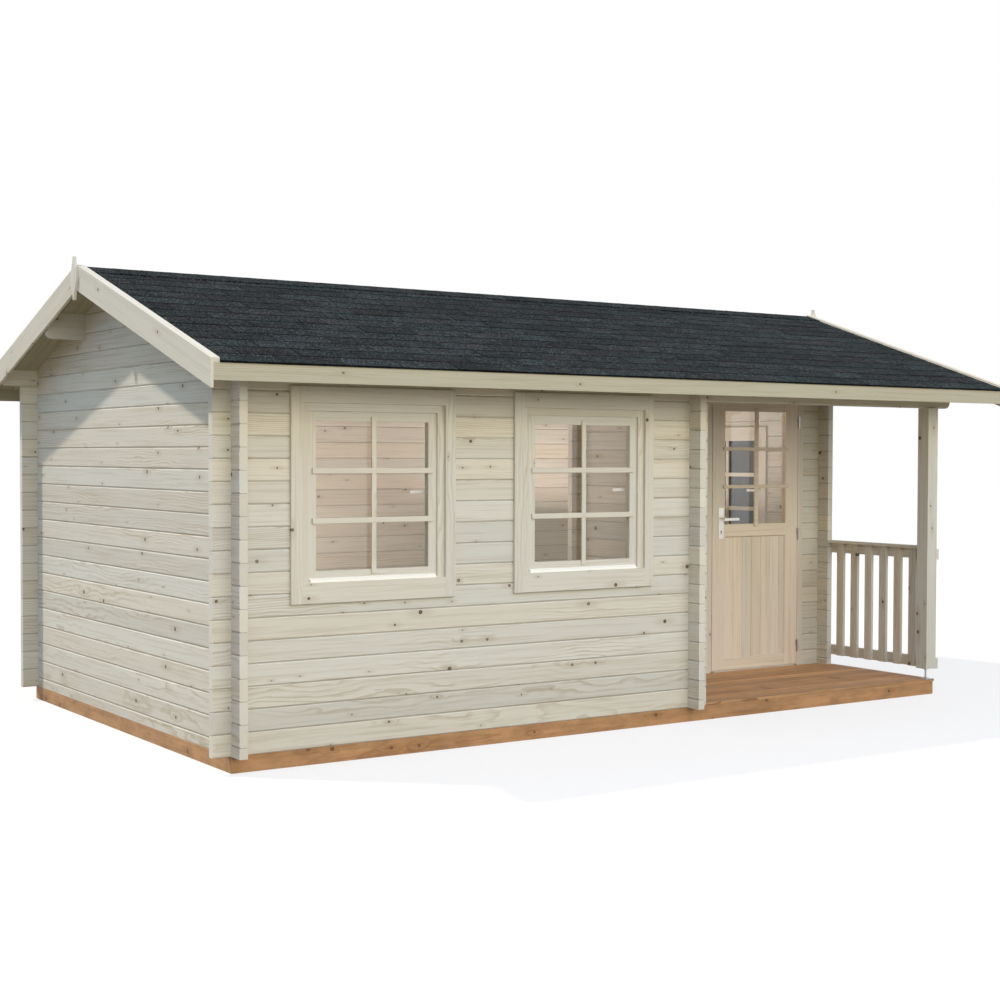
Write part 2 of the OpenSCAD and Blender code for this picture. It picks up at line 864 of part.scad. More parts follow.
// Outline of a lock plate around the spindle
module lock_outline() {
    difference() {
        translate([0, lock_rise]) {
            square([lock_w - 2 * lock_corner, lock_h], center = true);
            square([lock_w, lock_h - 2 * lock_corner], center = true);
            for (sx = [-1, 1], sz = [-1, 1])
                translate([sx * (lock_w / 2 - lock_corner), sz * (lock_h / 2 - lock_corner)])
                    circle(lock_corner);
        }
        circle(neck_r + running_gap);
    }
}

// Lock plates on both faces of the leaf
module lock_plates() {
    color(metal)
        for (y0 = [leaf_y - plate_t, leaf_y + leaf_t])
            translate([lever_x, 0, lever_z]) along_y(y0, y0 + plate_t) lock_outline();
}

// Grip and neck on one side of the leaf, from its face outwards along y
module lever_side(face, way) {
    tip = face + way * lever_out;
    neck_in = face + way * plate_t / 2;
    along_y(min(tip, neck_in), max(tip, neck_in)) circle(neck_r);
    along_y(min(tip, tip - way * grip_t), max(tip, tip - way * grip_t)) {
        translate([0, -grip_r]) square([lever_len - grip_r, 2 * grip_r]);
        translate([lever_len - grip_r, 0]) circle(grip_r);
        circle(boss_r);
    }
}

// Levers on both sides of the leaf, joined by the spindle
module lever_handle() {
    front = leaf_y;
    back = leaf_y + leaf_t;
    color(metal) translate([lever_x, 0, lever_z]) {
        lever_side(front, -1);
        lever_side(back, 1);
        along_y(front - plate_t, back + plate_t) circle(spindle_r);
    }
}

centred() base_front_beam();
centred() base_rear_beam();
centred() base_left_beam();
centred() base_right_beam();
centred() floor_joists();
centred() room_floor();
centred() terrace_deck();
centred() front_wall();
centred() rear_wall();
centred() left_gable_wall();
centred() right_gable_wall();
centred() right_gable_top();
centred() terrace_side_wall();
centred() door_wall_left();
centred() door_wall_right();
centred() door_wall_top();
centred() front_beam();
centred() rear_top_log();
centred() roof_purlins();
centred() roof_boards_front();
centred() roof_boards_rear();
centred() shingles_front();
centred() shingles_rear();
centred() ridge_shingles();
centred() eave_fascias();
centred() left_barge_boards();
centred() right_barge_boards();
centred() edge_caps();
centred() gable_finials();
centred() terrace_post();
centred() post_foot();
centred() railing_rails();
centred() railing_balusters();
centred() railing_cap();
centred() window_casings();
centred() window_frames();
centred() window_sashes();
centred() window_panes();
centred() door_frame();
centred() hinge_pins();
centred() door_leaf();
centred() door_panel();
centred() door_pane();
centred() hinge_knuckles();
centred() lock_plates();
centred() lever_handle();
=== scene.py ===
"""Finishes and small pieces of the log guest cabin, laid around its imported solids."""
import math
import random

import bmesh
import bpy
from bpy.props import FloatProperty, FloatVectorProperty, IntProperty, PointerProperty
from mathutils import Matrix, Vector


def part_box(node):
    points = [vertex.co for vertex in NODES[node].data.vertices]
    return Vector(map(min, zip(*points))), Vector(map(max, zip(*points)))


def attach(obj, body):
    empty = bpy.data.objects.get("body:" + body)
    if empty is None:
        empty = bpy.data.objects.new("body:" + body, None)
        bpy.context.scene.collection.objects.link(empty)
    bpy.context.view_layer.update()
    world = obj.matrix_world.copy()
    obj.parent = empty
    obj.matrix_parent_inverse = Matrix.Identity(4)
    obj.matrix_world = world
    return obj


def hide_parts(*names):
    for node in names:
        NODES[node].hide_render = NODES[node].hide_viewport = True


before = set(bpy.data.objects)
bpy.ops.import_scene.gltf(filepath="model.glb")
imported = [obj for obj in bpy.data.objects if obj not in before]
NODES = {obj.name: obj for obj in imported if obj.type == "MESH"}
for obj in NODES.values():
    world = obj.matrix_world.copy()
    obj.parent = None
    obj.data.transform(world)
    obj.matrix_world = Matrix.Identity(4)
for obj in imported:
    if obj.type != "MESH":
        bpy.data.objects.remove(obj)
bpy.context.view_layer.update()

bl_info = {
    "name": "Guest cabin finishes",
    "version": (1, 0, 0),
    "blender": (4, 5, 0),
    "location": "View3D > Sidebar > Cabin",
    "description": "Wood, shingles, glazing bars, fittings and stage of the log guest cabin",
    "category": "Object",
}

FRONT_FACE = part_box("front_wall")[0].y
GABLE_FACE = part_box("right_gable_wall")[1].x
BASE_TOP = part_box("base_front_beam")[1].z
LOG_HEIGHT = (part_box("front_wall")[1].z - BASE_TOP) / 16
LEAF_LOW, LEAF_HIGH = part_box("door_leaf")
DOOR_MIDDLE = (LEAF_LOW.x + LEAF_HIGH.x) / 2
DOOR_PANE_LOW, DOOR_PANE_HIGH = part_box("door_pane")
DOOR_PANEL_LOW, DOOR_PANEL_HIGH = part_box("door_panel")
SHINGLE_LOW, SHINGLE_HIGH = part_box("shingles_front")
ROOF_LOW, ROOF_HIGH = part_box("roof_boards_front")
RIDGE_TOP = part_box("ridge_shingles")[1].z

# Rise of the roof for each unit of run, and the share of its slope that goes out and up
ROOF_RISE = 0.33
SLOPE_OUT, SLOPE_UP = math.cos(math.atan(ROOF_RISE)), math.sin(math.atan(ROOF_RISE))

# Sizes of a window from the middle of its casing's lower edge
PANE_HALF = 0.336
PANE_BOTTOM = 0.164
PANE_TOP = 0.933
SASH_FACE = 0.012
SASH_BACK = 0.052
WEATHER_BAR_HALF = 0.376
CASING_HALF = 0.490
CASING_WIDTH = 0.062
CASING_HEIGHT = 1.106
FRAME_HALF = 0.438
FRAME_WIDTH = 0.052
MID_HEIGHT = 0.55

# Glass and bars past this place along the cabin belong to the gable window
GABLE_ZONE = GABLE_FACE - 0.1

# How deep a screw, lip or collar is set into the face that it sits on
SEAT = 0.0002

# Middles of the two front windows along the wall, read off the edges of their glass
PANE_EDGES = sorted({round(v.co.x, 4) for v in NODES["window_panes"].data.vertices if v.co.y < FRONT_FACE + 0.1})
WINDOW_1, WINDOW_2 = (PANE_EDGES[0] + PANE_EDGES[1]) / 2, (PANE_EDGES[2] + PANE_EDGES[3]) / 2
WINDOW_3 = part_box("window_panes")[1].y - PANE_HALF
FRONT_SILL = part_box("window_casings")[1].z - CASING_HEIGHT
GABLE_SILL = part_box("window_casings")[0].z
WINDOW_PLACES = (
    Matrix.Translation((WINDOW_1, FRONT_FACE, FRONT_SILL)),
    Matrix.Translation((WINDOW_2, FRONT_FACE, FRONT_SILL)),
    Matrix.Translation((GABLE_FACE, WINDOW_3, GABLE_SILL)) @ Matrix.Rotation(math.pi / 2, 4, "Z"),
)


def colour(label, words, value):
    """A colour that can be changed in the sidebar."""
    return FloatVectorProperty(name=label, description=words, default=value, size=3, min=0.0, max=1.0,
                               subtype="COLOR")


def length(label, words, value):
    """A length that can be changed in the sidebar."""
    return FloatProperty(name=label, description=words, default=value, min=0.0, unit="LENGTH", subtype="DISTANCE")


def light(label, words, value, kind="NONE"):
    """A level or power of light that can be changed in the sidebar."""
    return FloatProperty(name=label, description=words, default=value, min=0.0, subtype=kind)


def scaled(tone, share):
    """A colour made lighter or darker by one share, or by one for each of its three parts."""
    shares = share if isinstance(share, tuple) else (share, share, share)
    return tuple(c * k for c, k in zip(tone, shares))


def woods(context, kind):
    """Early wood, late wood and knot of a kind of wood."""
    c = context.scene.cabin_colours
    return tuple(getattr(c, f"{kind}_pale")), tuple(getattr(c, f"{kind}_dark")), tuple(c.knot)


class CabinColours(bpy.types.PropertyGroup):
    """Colours of the cabin's finishes."""
    spruce_pale: colour("Spruce", "Early wood of the logs and trim", (0.650, 0.614, 0.532))
    spruce_dark: colour("Spruce grain", "Late wood of the logs and trim", (0.420, 0.343, 0.235))
    fascia_pale: colour("Fascia", "Early wood of the eave fascias", (0.455, 0.430, 0.330))
    fascia_dark: colour("Fascia grain", "Late wood of the eave fascias", (0.320, 0.272, 0.180))
    # The weather bars are given a near-white tone, paler than the other window wood
    weather_bar: colour("Weather bar", "White-primed wood of the windows' weather bars", (0.900, 0.875, 0.790))
    pine_pale: colour("Door pine", "Early wood of the door and its frame", (0.735, 0.655, 0.555))
    pine_dark: colour("Door pine grain", "Late wood of the door and its frame", (0.530, 0.412, 0.295))
    # Painted shade: the roof boards are darker and yellower than the spruce, for the warm shade under the eaves
    lining_pale: colour("Roof board", "Early wood of the roof boards", (0.380, 0.350, 0.242))
    lining_dark: colour("Roof board grain", "Late wood of the roof boards", (0.270, 0.231, 0.144))
    # Painted light: the treated wood is lighter than its own tone, for the deck in the shade of the roof; the
    # sleepers take darker copies of it
    treated_pale: colour("Treated wood", "Early wood of the sleepers and the deck", (0.610, 0.336, 0.158))
    treated_dark: colour("Treated wood grain", "Late wood of the sleepers and the deck", (0.300, 0.139, 0.058))
    knot: colour("Knot", "Heart of a knot", (0.058, 0.042, 0.030))
    shingle: colour("Shingle", "Slate-coloured granules of the shingles", (0.0148, 0.0182, 0.0189))
    bright_steel: colour("Bright steel", "Lock plates and lever", (0.900, 0.875, 0.810))
    dull_steel: colour("Dull steel", "Hinges and screws", (0.640, 0.610, 0.560))
    zinc: colour("Zinc", "Coating of the post foot", (0.640, 0.640, 0.625))
    glass: colour("Glass", "Tint of the window and door glass", (0.970, 0.955, 0.935))
    # Painted shade: the gable window's dark grey-blue tint stands in for the dim view through that window
    gable_pane_painted_shade: colour("Gable glass", "Tint of the grey-blue glass in the gable window", (0.070, 0.078, 0.086))
    lacquer: colour("Lacquer", "White lacquer of the window handles", (0.820, 0.810, 0.780))


class CabinSizes(bpy.types.PropertyGroup):
    """Sizes of the small pieces that are laid on the solids."""
    shingle_course: length("Shingle course", "Height of a shingle course along the slope", 0.1435)
    shingle_tab: length("Shingle tab", "Width of a shingle tab", 0.333)
    shingle_slot: length("Shingle slot", "Gap between two tabs", 0.0025)
    shingle_lift: length("Shingle edge", "Height of a tab's lower edge above the layer", 0.0026)
    ridge_tab: length("Ridge tab", "Length of a ridge shingle that shows", 0.165)
    window_bar: length("Window bar", "Width of a glazing bar in the windows", 0.029)
    door_bar: length("Door bar", "Width of the horizontal glazing bars in the door", 0.024)
    bar_depth: length("Bar depth", "Thickness of a glazing bar", 0.011)
    bar_lap: length("Bar lap", "How far the bars run onto the sash", 0.024)
    door_board: length("Door board", "Width of a board in the door panel", 0.0862)
    roof_boards: IntProperty(name="Roof boards", description="Number of boards along each roof half",
                             default=64, min=40, max=80)


class CabinStage(bpy.types.PropertyGroup):
    """Light around the cabin."""
    sky: light("Sky", "Level of the even light from all sides", 0.62)
    front: light("Front panel", "Power of the wide soft panel in front", 780.0, "POWER")
    high: light("High panel", "Power of the cool soft panel high in front", 375.0, "POWER")
    gable: light("Gable panel", "Power of the cool soft panel on the left", 80.0, "POWER")
    side: light("Side light", "Level of the light from the rear left", 2.64)
    room: light("Room light", "Power of each soft panel in the room", 33.0, "POWER")


def two_sided(operation, turned=False):
    """A Python operator that adds a Math node behind its two values, the other way round when turned."""
    def act(self, other):
        return self.maths(operation, *((other, self) if turned else (self, other)))
    return act


class Flow:
    """One socket of a shader graph. Python's operators add Math nodes behind it."""

    def __init__(self, graph, socket):
        self.graph = graph
        self.socket = socket

    def also(self, name):
        """Another output of the same node."""
        return Flow(self.graph, self.socket.node.outputs[name])

    def maths(self, operation, *values):
        return self.graph.add("ShaderNodeMath", {"operation": operation}, dict(enumerate(values)))

    __add__ = __radd__ = two_sided("ADD")
    __mul__ = __rmul__ = two_sided("MULTIPLY")
    __sub__, __rsub__ = two_sided("SUBTRACT"), two_sided("SUBTRACT", True)
    __truediv__, __rtruediv__ = two_sided("DIVIDE"), two_sided("DIVIDE", True)
    __pow__, __rpow__ = two_sided("POWER"), two_sided("POWER", True)
    __gt__, __lt__ = two_sided("GREATER_THAN"), two_sided("LESS_THAN")
    least, most = two_sided("MINIMUM"), two_sided("MAXIMUM")

    def __abs__(self):
        return self.maths("ABSOLUTE", self)

    def __floor__(self):
        return self.maths("FLOOR", self)

    def share(self):
        """What is left after the whole number below it."""
        return self.maths("FRACT", self)

    def root(self):
        return self.maths("SQRT", self)

    def rise(self, low, high):
        """Goes smoothly from 0 at low to 1 at high."""
        return self.graph.add("ShaderNodeMapRange", {"interpolation_type": "SMOOTHSTEP"},
                              {"Value": self, "From Min": low, "From Max": high})

    def parts(self):
        """The three numbers of a vector or colour."""
        x = self.graph.add("ShaderNodeSeparateXYZ", {}, {"Vector": self}, "X")
        return x, x.also("Y"), x.also("Z")


class Graph:
    """Node graph of one material or of the world."""

    def __init__(self, owner, output="ShaderNodeOutputMaterial"):
        owner.use_nodes = True
        self.owner = owner
        self.tree = owner.node_tree
        self.tree.nodes.clear()
        self.output = self.tree.nodes.new(output)

    def coordinates(self):
        """Readies the piece's own coordinates."""
        self.place = self.add("ShaderNodeTexCoord", {}, {}, "Object")
        self.x, self.y, self.z = self.place.parts()

    def add(self, kind, settings, sockets, out=0):
        """Adds a node, sets it up, links or fills its sockets and gives one of its outputs."""
        node = self.tree.nodes.new(kind)
        for name, value in settings.items():
            setattr(node, name, value)
        for name, value in sockets.items():
            if isinstance(value, Flow):
                self.tree.links.new(value.socket, node.inputs[name])
            else:
                node.inputs[name].default_value = value
        return Flow(self, node.outputs[out])

    def vector(self, x, y, z):
        return self.add("ShaderNodeCombineXYZ", {}, {"X": x, "Y": y, "Z": z})

    def mix(self, share, first, second, blend="MIX"):
        """Goes from the first colour to the second by a share."""
        ends = [(*c, 1.0) if isinstance(c, tuple) and len(c) == 3 else c for c in (first, second)]
        return self.add("ShaderNodeMix", {"data_type": "RGBA", "blend_type": blend, "clamp_factor": True},
                        {0: share, 6: ends[0], 7: ends[1]}, 2)

    def shade(self, colour_flow, factor):
        """A colour made lighter or darker by a factor that changes over the surface."""
        return self.add("ShaderNodeVectorMath", {"operation": "SCALE"}, {0: colour_flow, "Scale": factor})

    def noise(self, place, scale, detail=2.0, roughness=0.5):
        return self.add("ShaderNodeTexNoise", {"noise_dimensions": "3D"},
                        {"Vector": place, "Scale": scale, "Detail": detail, "Roughness": roughness}, 0)

    def chance(self, number):
        """Three random numbers for each value of a whole number."""
        made = self.add("ShaderNodeTexWhiteNoise", {"noise_dimensions": "1D"}, {"W": number}, "Color")
        return made.parts()

    def facing(self, axis):
        """One on faces square to an axis, nothing on the others."""
        nearly_square = 0.8
        return abs(self.add("ShaderNodeTexCoord", {}, {}, "Normal").parts()[axis]) > nearly_square

    def bump(self, height, strength, distance):
        return self.add("ShaderNodeBump", {}, {"Height": height, "Strength": strength, "Distance": distance})

    def seen(self):
        """One for sight, mirrored sight and sight through glass, nothing for other light."""
        eye = self.add("ShaderNodeLightPath", {}, {}, "Is Camera Ray")
        return eye.most(eye.also("Is Glossy Ray")).most(eye.also("Is Transmission Ray"))

    def close(self, shader):
        """Joins the last shader to the output."""
        self.tree.links.new(shader.socket, self.output.inputs["Surface"])
        return self.owner

    def surface(self, sockets):
        """The principled shader that closes the graph."""
        return self.close(self.add("ShaderNodeBsdfPrincipled", {}, sockets))


def finish_graph(name):
    """Graph of a new material, with coordinates."""
    g = Graph(bpy.data.materials.new(name))
    g.coordinates()
    return g


# Grain directions of a timber: along it, across it and into it
def along_x(g):
    return g.x, g.z, g.y


def along_y(g):
    return g.y, g.z, g.x


def along_z(g):
    return g.z, g.x, g.y


def along_z_in_rail(g):
    return g.z, g.y, g.x


def around_z(g):
    return g.z, g.x - g.y, g.x + g.y


def along_slope(g):
    run = abs(g.y)
    return run * SLOPE_OUT - g.z * SLOPE_UP, run * SLOPE_UP + g.z * SLOPE_OUT, g.x


def framed(g, away, sideways, depth, limit):
    """Grain that stands up in the stiles and lies flat in the rails between them."""
    stile = away > limit
    return sideways + (g.z - sideways) * stile, g.z + (sideways - g.z) * stile, depth


def window_place(g):
    """Distance from the middle of a window along its wall, the depth, and which window it is."""
    gable = g.x > GABLE_ZONE
    second = g.x > (WINDOW_1 + WINDOW_2) / 2
    front = g.x - WINDOW_1 - second * (WINDOW_2 - WINDOW_1)
    return front + (g.y - WINDOW_3 - front) * gable, g.y + (g.x - g.y) * gable, second + gable


def window_grain(limit):
    """Grain directions of a window's ring, whose stiles start at a distance from its middle."""
    def directions(g):
        off, depth, _ = window_place(g)
        return framed(g, abs(off), off, depth, limit)
    return directions


def window_timber(first, limit):
    """Numbers the stiles and rails of the windows' rings."""
    def number(g):
        off, _, window = window_place(g)
        stile = abs(off) > limit
        high = g.z > FRONT_SILL + MID_HEIGHT
        return window * 7.0 + stile * (2.0 + (off > 0.0)) + (1.0 - stile) * high + first
    return number


def bar_grain(g):
    """Grain directions of the glazing bars: upright in the middle bar, level in the others."""
    half = 0.0146
    off, depth, _ = window_place(g)
    return framed(g, 0.0 - abs(off), off, depth, -half)


def door_grain(limit):
    """Grain directions of the door leaf or its frame."""
    def directions(g):
        return framed(g, abs(g.x - DOOR_MIDDLE), g.x, g.y, limit)
    return directions


def door_timber(first, limit):
    """Numbers the stiles and rails of the door leaf or its frame."""
    def number(g):
        stile = abs(g.x - DOOR_MIDDLE) > limit
        rail_pitch = 0.65
        rail = math.floor((g.z - LEAF_LOW.z) / rail_pitch) + 2.0
        return stile * (g.x > DOOR_MIDDLE) + (1.0 - stile) * rail + first
    return number


def wood(name, directions, pale, dark, knot, number, knots=1.0, grain=1.0, uneven=0.13, mottle=0.0, course=None,
         ends=None):
    """Planed wood with growth rings, streaks and knots along the grain. number tells one timber from the next.
    ends is the axis that the sawn ends face."""
    g = finish_graph(name)
    along, across, depth = directions(g)
    timber = number(g)
    first, second, third = g.chance(timber)
    run = along + first * 23.0
    side = across + second * 3.0

    # Knots: one chance in each cell of a loose net along the timber
    cells = 5.6
    ring_width = 0.0076
    net = g.add("ShaderNodeTexVoronoi", {"voronoi_dimensions": "2D", "feature": "F1"},
                {"Vector": g.vector(run * cells, side * cells, 0.0), "Scale": 1.0, "Randomness": 1.0}, "Distance")
    here, size, kind = net.also("Color").parts()
    knot_x, knot_y, _ = net.also("Position").parts()
    off_along = run - knot_x / cells
    off_across = side - knot_y / cells
    present = here > 1.0 - 0.42 * knots
    if ends is not None:
        sawn = g.facing(ends)
        present = present * (1.0 - sawn)
    radius = 0.0034 + 0.0095 * size * size
    wobble = g.noise(g.vector(run, side, depth), 160.0, 1.0) - 0.5
    far = ((off_along * 0.9) ** 2.0 + off_across ** 2.0).root() + wobble * 0.003
    core = present * (1.0 - far.rise(radius * 0.75, radius * 1.15))
    stretched = ((off_along * 0.32) ** 2.0 + off_across ** 2.0).root()
    halo = present * (1.0 - stretched.rise(radius * 0.6, radius * 3.2 + 0.004))

    # Growth rings around a heart that runs beside the timber, pushed aside by the knots
    streak = g.noise(g.vector(run * 1.6, side * 62.0, depth * 62.0), 1.0, 3.0, 0.65)
    fibre = g.noise(g.vector(run * 14.0, side * 420.0, depth * 420.0), 1.0, 2.0, 0.6)
    broad = g.noise(g.vector(run * 0.7, side * 7.0, depth * 7.0), 1.0, 1.0)
    sway = g.noise(g.vector(run * 1.5, side * 6.0, depth * 6.0), 1.0, 3.0, 0.55) - 0.5
    heart = ((side - second * 3.0 - (third - 0.5) * 0.14) ** 2.0 + (depth - 0.06 * (first - 0.3)) ** 2.0).root()
    ring = ((heart + sway * 0.046 + (streak - 0.5) * 0.004 + halo * 0.006) / ring_width).share()
    late = ring.rise(0.45, 0.93) * (1.0 - ring.rise(0.93, 1.0))
    lively = broad.rise(0.42, 0.66)

    figure = late * (0.06 + 0.74 * lively) + streak.rise(0.45, 0.70) * 0.46 + (fibre - 0.5) * 0.30
    if ends is not None:
        figure = figure * (1.0 - 0.8 * sawn)
    toned = g.mix(figure * (0.72 * grain), pale, dark)
    toned = g.shade(toned, 1.0 + uneven * (first - 0.5) + uneven * 1.1 * (broad - 0.5))
    toned = g.mix(1.0, toned, g.mix(third, (0.985, 1.005, 1.030), (1.020, 0.992, 0.955)), "MULTIPLY")
    if mottle:
        stain = g.noise(g.vector(run * 6.0, side * 15.0, depth * 15.0), 1.0, 4.0, 0.65)
        toned = g.shade(toned, 1.0 + mottle * 2.0 * (stain.rise(0.30, 0.70) - 0.5))
    toned = g.mix(halo * 0.26, toned, scaled(dark, (0.92, 0.84, 0.74)))
    ringed = far.rise(radius * 0.15, radius * 0.62)
    toned = g.mix(core * (0.76 + 0.24 * ringed) * (0.78 + 0.22 * kind), toned, knot)
    # Painted shade: the wood is darker within a few millimetres of each joint between logs, for the shadow in the
    # groove
    if course is not None:
        place = ((g.z - course) / LOG_HEIGHT).share()
        gap = place.least(1.0 - place) * LOG_HEIGHT
        toned = g.shade(toned, 0.60 + 0.40 * gap.rise(0.0002, 0.0034))
    height = late * 0.45 + streak * 0.35 + fibre * 0.35 - core * 0.6
    return g.surface({"Base Color": toned, "Roughness": 0.60 + 0.16 * streak - 0.10 * late,
                      "Specular IOR Level": 0.3, "Normal": g.bump(height, 0.22, 0.0016)})


def shingle_stone(name, tone, across_slope):
    """Mineral granules on the shingles, with each tab a little lighter or darker than the next, and painted shadow
    lines below the tabs' lower edges and in their slots.
    """
    g = finish_graph(name)
    sizes = bpy.context.scene.cabin_sizes
    if across_slope:
        up = (abs(g.y) - abs(SHINGLE_LOW.y)) / (-SLOPE_OUT * sizes.shingle_course) + 0.04
        row = math.floor(up)
        sideways = (g.x - SHINGLE_LOW.x) / sizes.shingle_tab + (row / 2.0).share()
        gap = sideways.share().least(1.0 - sideways.share()) * sizes.shingle_tab
        # Painted shadow: a dark band just below each tab's lower edge, and in the slots between tabs
        under = 1.0 - up.share().rise(0.040, 0.085)
        painted_shadow_line = under.most(1.0 - gap.rise(0.0025, 0.0060))
        first, _, _ = g.chance(row * 37.0 + math.floor(sideways))
    else:
        along = (g.x - SHINGLE_LOW.x) / sizes.ridge_tab
        # Painted shadow: a dark band at the start of each ridge tab
        painted_shadow_line = 1.0 - along.share().rise(0.01, 0.04)
        first, _, _ = g.chance(math.floor(along) + 3.0)
    granule = g.noise(g.place, 330.0, 1.0)
    dab = g.noise(g.vector(g.x * 96.0, g.y * 40.0, g.z * 40.0), 1.0, 2.0, 0.8)
    pale_grain = g.noise(g.vector(g.x * 125.0 + 7.0, g.y * 56.0, g.z * 56.0), 1.0, 1.0)
    patch = g.noise(g.vector(g.x * 5.0, g.y * 11.0, g.z * 11.0), 1.0, 3.0, 0.65)
    hue = g.noise(g.vector(g.x * 3.0, g.y * 8.0 + 3.0, g.z * 8.0), 1.0, 2.0)
    sheen = g.mix(hue.rise(0.36, 0.64), scaled(tone, (0.90, 1.04, 1.02)), scaled(tone, (1.16, 0.98, 1.00)))
    uneven = (0.72 + 0.56 * first) * (0.55 + 0.90 * patch.rise(0.25, 0.75)) * (1.0 - 0.70 * painted_shadow_line)
    toned = g.shade(sheen, uneven * (0.24 + 1.28 * dab.rise(0.36, 0.64)))
    speck = pale_grain.rise(0.56, 0.66) * (0.45 + 0.55 * granule.rise(0.40, 0.60))
    speck = speck * (1.0 - 0.8 * painted_shadow_line) * (0.7 + 0.6 * first)
    toned = g.mix(speck * 0.66, toned, scaled(tone, 6.4))
    return g.surface({"Base Color": toned, "Roughness": 0.88 + 0.1 * granule, "Specular IOR Level": 0.06,
                      "Normal": g.bump(granule * 0.6 + dab * 0.7, 0.7, 0.002)})


def steel(name, tone, roughness, stretch, bare=1.0):
    """Brushed steel with fine scratches along one direction and a little dullness. Lacquered when bare is 0."""
    g = finish_graph(name)
    brush = g.noise(g.vector(*(c * s for c, s in zip((g.x, g.y, g.z), stretch))), 1.0, 3.0, 0.7)
    dull = g.noise(g.place, 38.0, 2.0)
    toned = g.mix(dull.rise(0.35, 0.75) * 0.35, tone, scaled(tone, 0.72))
    return g.surface({"Base Color": toned, "Metallic": bare, "Roughness": roughness + 0.16 * brush + 0.10 * dull,
                      "Normal": g.bump(brush, 0.08, 0.0005)})


def clear_glass(name, tint, painted_shade):
    """Pane glass that bends and mirrors sight and lets the lamps through. The gable window's glass gets a dark tint,
    painted shade for the dim view through it.
    """
    g = finish_graph(name)
    haze = g.noise(g.place, 3.0, 2.0)
    # Painted shade: glass past GABLE_ZONE takes the dark gable tint
    toned = g.mix(g.x > GABLE_ZONE, tint, painted_shade)
    pane = g.add("ShaderNodeBsdfPrincipled", {}, {
        "Base Color": toned, "Roughness": 0.005 + 0.012 * haze, "IOR": 1.58, "Transmission Weight": 1.0})
    open_way = g.add("ShaderNodeBsdfTransparent", {}, {"Color": (*tint, 1.0)})
    shadow = g.add("ShaderNodeLightPath", {}, {}, "Is Shadow Ray")
    lit = shadow.most(shadow.also("Is Diffuse Ray"))
    return g.close(g.add("ShaderNodeMixShader", {}, {0: lit, 1: pane, 2: open_way}))


def dress(material, *names):
    """Puts a material on solids that stay in view."""
    for name in names:
        mesh = NODES[name].data
        mesh.materials.clear()
        mesh.materials.append(material)


def eased_bar(bm, low, high, ease=0.002, place=Matrix()):
    """Adds a bar between two corners, with its edges eased."""
    low, high = Vector(low), Vector(high)
    size = high - low
    shape = place @ Matrix.Translation((low + high) / 2) @ Matrix.Diagonal((*size, 1.0))
    made = bmesh.ops.create_cube(bm, size=1.0, matrix=shape)
    edges = list({edge for vert in made["verts"] for edge in vert.link_edges})
    bmesh.ops.bevel(bm, geom=edges, offset=min(ease, min(size) * 0.35), segments=2, profile=0.5, affect="EDGES")


def glazing_bars(bm, corners, depth, halves, lap, set_back, place=Matrix()):
    """Parts a pane with one upright bar, set back at its front and rear, and two level bars. They lap its edges."""
    (x0, z0), (x1, z1) = corners
    (y0, y1), (upright, level), (front, rear) = depth, halves, set_back
    middle = (x0 + x1) / 2
    eased_bar(bm, (middle - upright, y0 + front, z0 - lap), (middle + upright, y1 - rear, z1 + lap), place=place)
    for z in (z0 + (z1 - z0) / 3, z0 + 2 * (z1 - z0) / 3):
        eased_bar(bm, (x0 - lap, y0, z - level), (x1 + lap, y1, z + level), place=place)


def drawn_out(bm, outline, spot, start, end):
    """Adds a solid whose outline is carried from start to end. spot places a point of the outline there."""
    near, far = [[bm.verts.new(spot(p, at)) for p in outline] for at in (start, end)]
    count = len(outline)
    for i in range(count):
        j = (i + 1) % count
        bm.faces.new((near[i], near[j], far[j], far[i]))
    bm.faces.new(near[::-1])
    bm.faces.new(far)


def ring_stack(bm, place, rows, sides):
    """Adds rings of points, each with a radius and a height, joined by faces. Gives the rings."""
    turns = [math.tau * i / sides for i in range(sides)]
    rings = [[bm.verts.new(place @ Vector((r * math.cos(a), r * math.sin(a), z))) for a in turns] for r, z in rows]
    for low, high in zip(rings, rings[1:]):
        for i in range(sides):
            j = (i + 1) % sides
            bm.faces.new((low[i], low[j], high[j], high[i]))
    return rings


def screw_head(bm, place, radius=0.004, rise=0.0012):
    """Adds a low domed screw head with a recess, standing up along its own z."""
    rows = (radius, 0.0), (radius, rise * 0.4), (radius * 0.75, rise * 0.85), (radius * 0.42, rise)
    rim = ring_stack(bm, place, rows, 16)[-1]
    middle = bm.verts.new(place @ Vector((0.0, 0.0, rise * 0.1)))
    for i, corner in enumerate(rim):
        bm.faces.new((corner, rim[(i + 1) % len(rim)], middle))


def piece(bm, name, material, body):
    """Closes a mesh into a named piece that rides on a body."""
    bmesh.ops.recalc_face_normals(bm, faces=bm.faces)
    mesh = bpy.data.meshes.new(name)
    bm.to_mesh(mesh)
    bm.free()
    if not mesh.polygons:
        raise RuntimeError(f"{name} has no faces")
    mesh.materials.append(material)
    made = bpy.data.objects.new(name, mesh)
    bpy.context.scene.collection.objects.link(made)
    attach(made, body)
    return made


